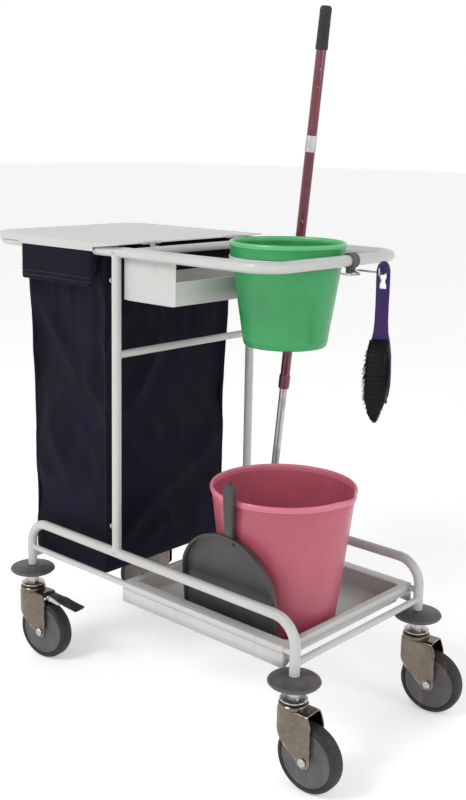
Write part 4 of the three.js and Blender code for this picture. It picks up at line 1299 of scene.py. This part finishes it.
wire_low, wire_high = span("hook_wire")
wire_z = wire_low[2] + 2
WIRE_R, WIRE_END = 1.95, 1.2
tip_x, tip_y = wire_high[0] - 2, hook_y - 14
bends = [(rail_x + 14, -24), (rail_x + 46, -24), (rail_x + 46, -2), (rail_x + 8.6, hook_y - 6),
         (rail_x + 8.6, hook_y + 12), (tip_x, hook_y + 12), (tip_x, tip_y)]
wire = Skin()
path = rounded([(x, y, wire_z) for x, y in bends], [0, 6, 6, 3, 3, 5, 0], 6)
wire.loft([hoop(path[0] - ALONG * 0.5, ALONG, UP, WIRE_END, 16), *swept(path, UP, WIRE_R, 16)])
tip = ((wire_z - 1.9, WIRE_END), (wire_z - 1.3, WIRE_R), (wire_high[2] - 0.8, WIRE_R), (wire_high[2], WIRE_END))
wire.loft([hoop(np.array([tip_x, tip_y, z]), UP, ACROSS, r, 16) for z, r in tip])
wire.piece("hook_wire_made", [ZINC], "frame", "zinc_steel", "hook_wire")


# Hand brush. A glossy purple handle with a waisted hanging slot hangs from the hook; its back holds
# stiff black nylon tufts, set in rows, that are longest in the middle and splay at the edges.
def purple_plastic():
    stuff, shader, place = new_finish("glossy_purple_plastic", Coat_Weight=0.12, Coat_Roughness=0.15,
                                      Specular_IOR_Level=0.3)
    scratch = step(cloud(place, 150, 3, (1, 1, 0.1)), 0.6, 0.78)
    colour = dye(step(cloud(place, 14), 0.3, 0.7), tint(36, 9, 72), tint(44, 14, 84))
    colour = dye(worn_edges(place) * 0.4 + scratch * 0.12, colour, tint(104, 70, 150))
    grain = relief(cloud(place, 640, 2), 0.0001, 0.4)
    link(shader, Base_Color=colour, Roughness=0.3 + scratch * 0.2, Normal=grain)
    return stuff


def bristle_nylon():
    stuff, shader, place = new_finish("black_bristle_nylon", Specular_IOR_Level=0.15)
    colour = dye(cloud(place, 320), tint(8, 8, 9), tint(24, 22, 24))
    link(shader, Base_Color=colour, Roughness=0.45 + cloud(place, 60) * 0.2)
    return stuff


brush_x, brush_y = tip_x, hook_y
BRUSH_TURN = math.radians(113)


def hang(points):
    """Turns brush parts, shaped with their bristles towards -X, to the way the brush hangs."""
    x, y = points[:, 0] - brush_x, points[:, 1] - brush_y
    cos, sin = math.cos(BRUSH_TURN), math.sin(BRUSH_TURN)
    return np.stack([brush_x + x * cos - y * sin, brush_y + x * sin + y * cos, points[:, 2]], 1)


back = Skin()
stations = [(652, 353.5, 357, 9), (655, 352.4, 359.5, 14.5), (664, 352, 363, 19.5), (682, 352, 366.6, 21.8),
            (705, 352, 368, 22), (738, 352, 367, 21), (762, 352, 365.2, 18), (780, 352.1, 363.4, 14),
            (800, 352.3, 362.2, 12.8), (830, 352.6, 362, 12.5), (854, 352.8, 361.8, 12.8),
            (876, 352, 361.4, 13), (892, 351.4, 361.2, 12.8), (900, 351.6, 360.8, 10.8),
            (905, 352.4, 360, 7.6), (908, 353.6, 358.6, 3.6)]
rows = []
for z, x_in, x_out, half in stations:
    block = rounded([(x_in, -half), (x_out - 1, -half * 0.92), (x_out, -half * 0.5), (x_out, half * 0.5),
                     (x_out - 1, half * 0.92), (x_in, half)], min(3.2, half * 0.45), 4, closed=True)
    rows.append([np.array([x, brush_y + y, z]) for x, y in block])
back.loft(rows)
back.move(hang)
brush = back.piece("brush_back", [purple_plastic()], "brush", "brush_plastic", "brush_handle")
eye_cut = Skin()
EYE_HALF, EYE_WAIST = 6.3, 3.8
one_side = [(EYE_HALF, 858.4), (EYE_HALF, 866), (EYE_WAIST, 872.5), (EYE_HALF, 879), (EYE_HALF, 887.4)]
waist = rounded([(-EYE_HALF, 858.4), *one_side, *[(-y, z) for y, z in one_side[:0:-1]]], 1.8, 4, closed=True)
eye_cut.loft([[np.array([x, brush_y + y, z]) for y, z in waist] for x in (345, 370)])
eye_cut.move(hang)
cutter = eye_cut.piece("eye_cutter", [], "brush", "brush_plastic")
hole = brush.modifiers.new("eye", "BOOLEAN")
hole.object, hole.operation, hole.solver = cutter, "DIFFERENCE", "EXACT"
soft_edge = brush.modifiers.new("moulded_edge", "BEVEL")
soft_edge.width, soft_edge.segments = 0.0007, 2
soft_edge.limit_method, soft_edge.angle_limit = "ANGLE", math.radians(50)
settled = bpy.data.meshes.new_from_object(brush.evaluated_get(bpy.context.evaluated_depsgraph_get()))
brush.modifiers.clear()
brush.data = settled
bpy.data.objects.remove(cutter)

tufts = Skin()
ROOT_X, ROOT_LOW, ROOT_HIGH = 352.2, 656, 768
along = (0, 0.1, 0.3, 0.6, 0.85, 1)
TIPS = {"x": (330, 318, 308.5, 308.5, 317, 336), "z": (617, 628, 660, 706, 744, 766),
        "half": (3, 10, 20, 22, 20, 13)}


def tuft_end(share):
    """Where the hairs rooted at this share of the block's length end, and the block's half width there."""
    return [float(np.interp(share, along, TIPS[part])) for part in ("x", "z", "half")]


draw = np.random.default_rng(7)
for share in np.linspace(0.02, 0.98, 19):
    end_x, end_z, wide = tuft_end(share)
    for across in np.linspace(-0.9, 0.9, 7):
        for hair in range(12):
            a, r = 2 * math.pi * draw.random(), 2.4 * math.sqrt(draw.random())
            y = across * (wide - 3)
            root_z = ROOT_LOW + (ROOT_HIGH - ROOT_LOW) * share
            root = np.array([ROOT_X, brush_y + y + r * math.cos(a), root_z + r * math.sin(a)])
            droop = draw.normal(0, 0.6, 2)
            reach_out = draw.uniform(0.94, 1.0) * (1 - 0.16 * across**4)
            end = root + np.array([(end_x - ROOT_X) * reach_out, across * 4 + droop[0],
                                   (end_z - root[2]) * reach_out + droop[1]])
            mid = (root + end) / 2 + np.array([0, droop[1] * 0.4, droop[0] * 0.4])
            tufts.loft([[p + np.array([0, t * math.cos(g), t * math.sin(g)]) for g in (0, 2.09, 4.19)]
                        for p, t in ((root, 0.5), (mid, 0.46), (end, 0.2))])
mass = []
for across in (-0.94, -0.86, -0.6, -0.3, 0, 0.3, 0.6, 0.86, 0.94):
    fill = 0.955 - 0.2 * across**4
    section = [(ROOT_X - 0.6, ROOT_HIGH - 1.5), (ROOT_X - 0.6, ROOT_LOW + 1.5)]
    for share in np.linspace(0, 1, 15):
        end_x, end_z, wide = tuft_end(share)
        root_z = ROOT_LOW + (ROOT_HIGH - ROOT_LOW) * share
        narrow = max(0.0, abs(across) * 21 / wide - 1)
        kept = fill * max(0.12, 1 - narrow)
        section.append((ROOT_X + (end_x - ROOT_X) * kept, root_z + (end_z - root_z) * kept))
    mass.append([np.array([x, brush_y + across * 19, z]) for x, z in section])
tufts.loft(mass)
tufts.move(hang)
tufts.piece("brush_tufts", [bristle_nylon()], "brush", "bristle", "brush_bristles", sharp=60)


# Camera, lamps and floor. A pale studio floor under a bright, even surround, with one large soft
# lamp in front and above and a smaller one from the bucket end for shape.
camera = bpy.data.cameras.new("camera")
camera.sensor_width, camera.lens = 36, 49.56
camera.shift_x, camera.shift_y = 0.0253, -0.0521
eye = bpy.data.objects.new("camera", camera)
bpy.context.scene.collection.objects.link(eye)
azimuth, elevation, roll = (math.radians(a) for a in (42.83, 11.12, 0.91))
level = math.cos(elevation)
away = Vector((math.sin(azimuth) * level, -math.cos(azimuth) * level, math.sin(elevation)))
target = Vector(MIDDLE) + Vector((-0.02283, 0.00187, 0.68169))
eye.rotation_mode = "QUATERNION"
eye.location = target + away * 2.22073
eye.rotation_quaternion = (-away).to_track_quat("-Z", "Y") @ Quaternion((0, 0, 1), roll)
bpy.context.scene.camera = eye


def lamp(name, spot, aim, size, power):
    data = bpy.data.lights.new(name, "AREA")
    data.shape, data.size, data.energy = "DISK", size, power
    thing = bpy.data.objects.new(name, data)
    thing.location = spot
    thing.rotation_mode = "QUATERNION"
    thing.rotation_quaternion = (Vector(aim) - Vector(spot)).to_track_quat("-Z", "Y")
    bpy.context.scene.collection.objects.link(thing)


lamp("key_lamp", (-0.6, -3.0, 3.2), (0, 0, 0.5), 1.5, 62)
lamp("side_lamp", (3.0, 0.4, 2.0), (0, 0, 0.6), 1.2, 16)
world = bpy.data.worlds.new("surround")
world.use_nodes = True
sky = world.node_tree.nodes["Background"]
heading = Wire(world.node_tree).node("TexCoord", out="Generated")
rise = heading.node("SeparateXYZ", {}, {"Vector": heading}, "Z")
world.node_tree.links.new(step(rise, 0.6, 0.8, 1.0, 0.3).socket, sky.inputs["Strength"])
sky.inputs["Color"].default_value = (1, 1, 1, 1)
bpy.context.scene.world = world
bpy.context.scene.view_settings.view_transform = "Standard"

floor_mesh = bpy.data.meshes.new("floor")
FLOOR_HALF = 40
floor_mesh.from_pydata(plate(-FLOOR_HALF, FLOOR_HALF, -FLOOR_HALF, FLOOR_HALF, 0), [], [(0, 1, 2, 3)])
floor = bpy.data.objects.new("floor", floor_mesh)
bpy.context.scene.collection.objects.link(floor)
paper, paper_shader, spot = new_finish("white_studio_floor", Roughness=0.9, Specular_IOR_Level=0.1,
                                       Emission_Color=(1, 1, 1, 1), Emission_Strength=0.3)
link(paper_shader, Base_Color=dye(cloud(spot, 3), (0.93, 0.93, 0.93, 1), (0.96, 0.96, 0.96, 1)))
floor_mesh.materials.append(paper)
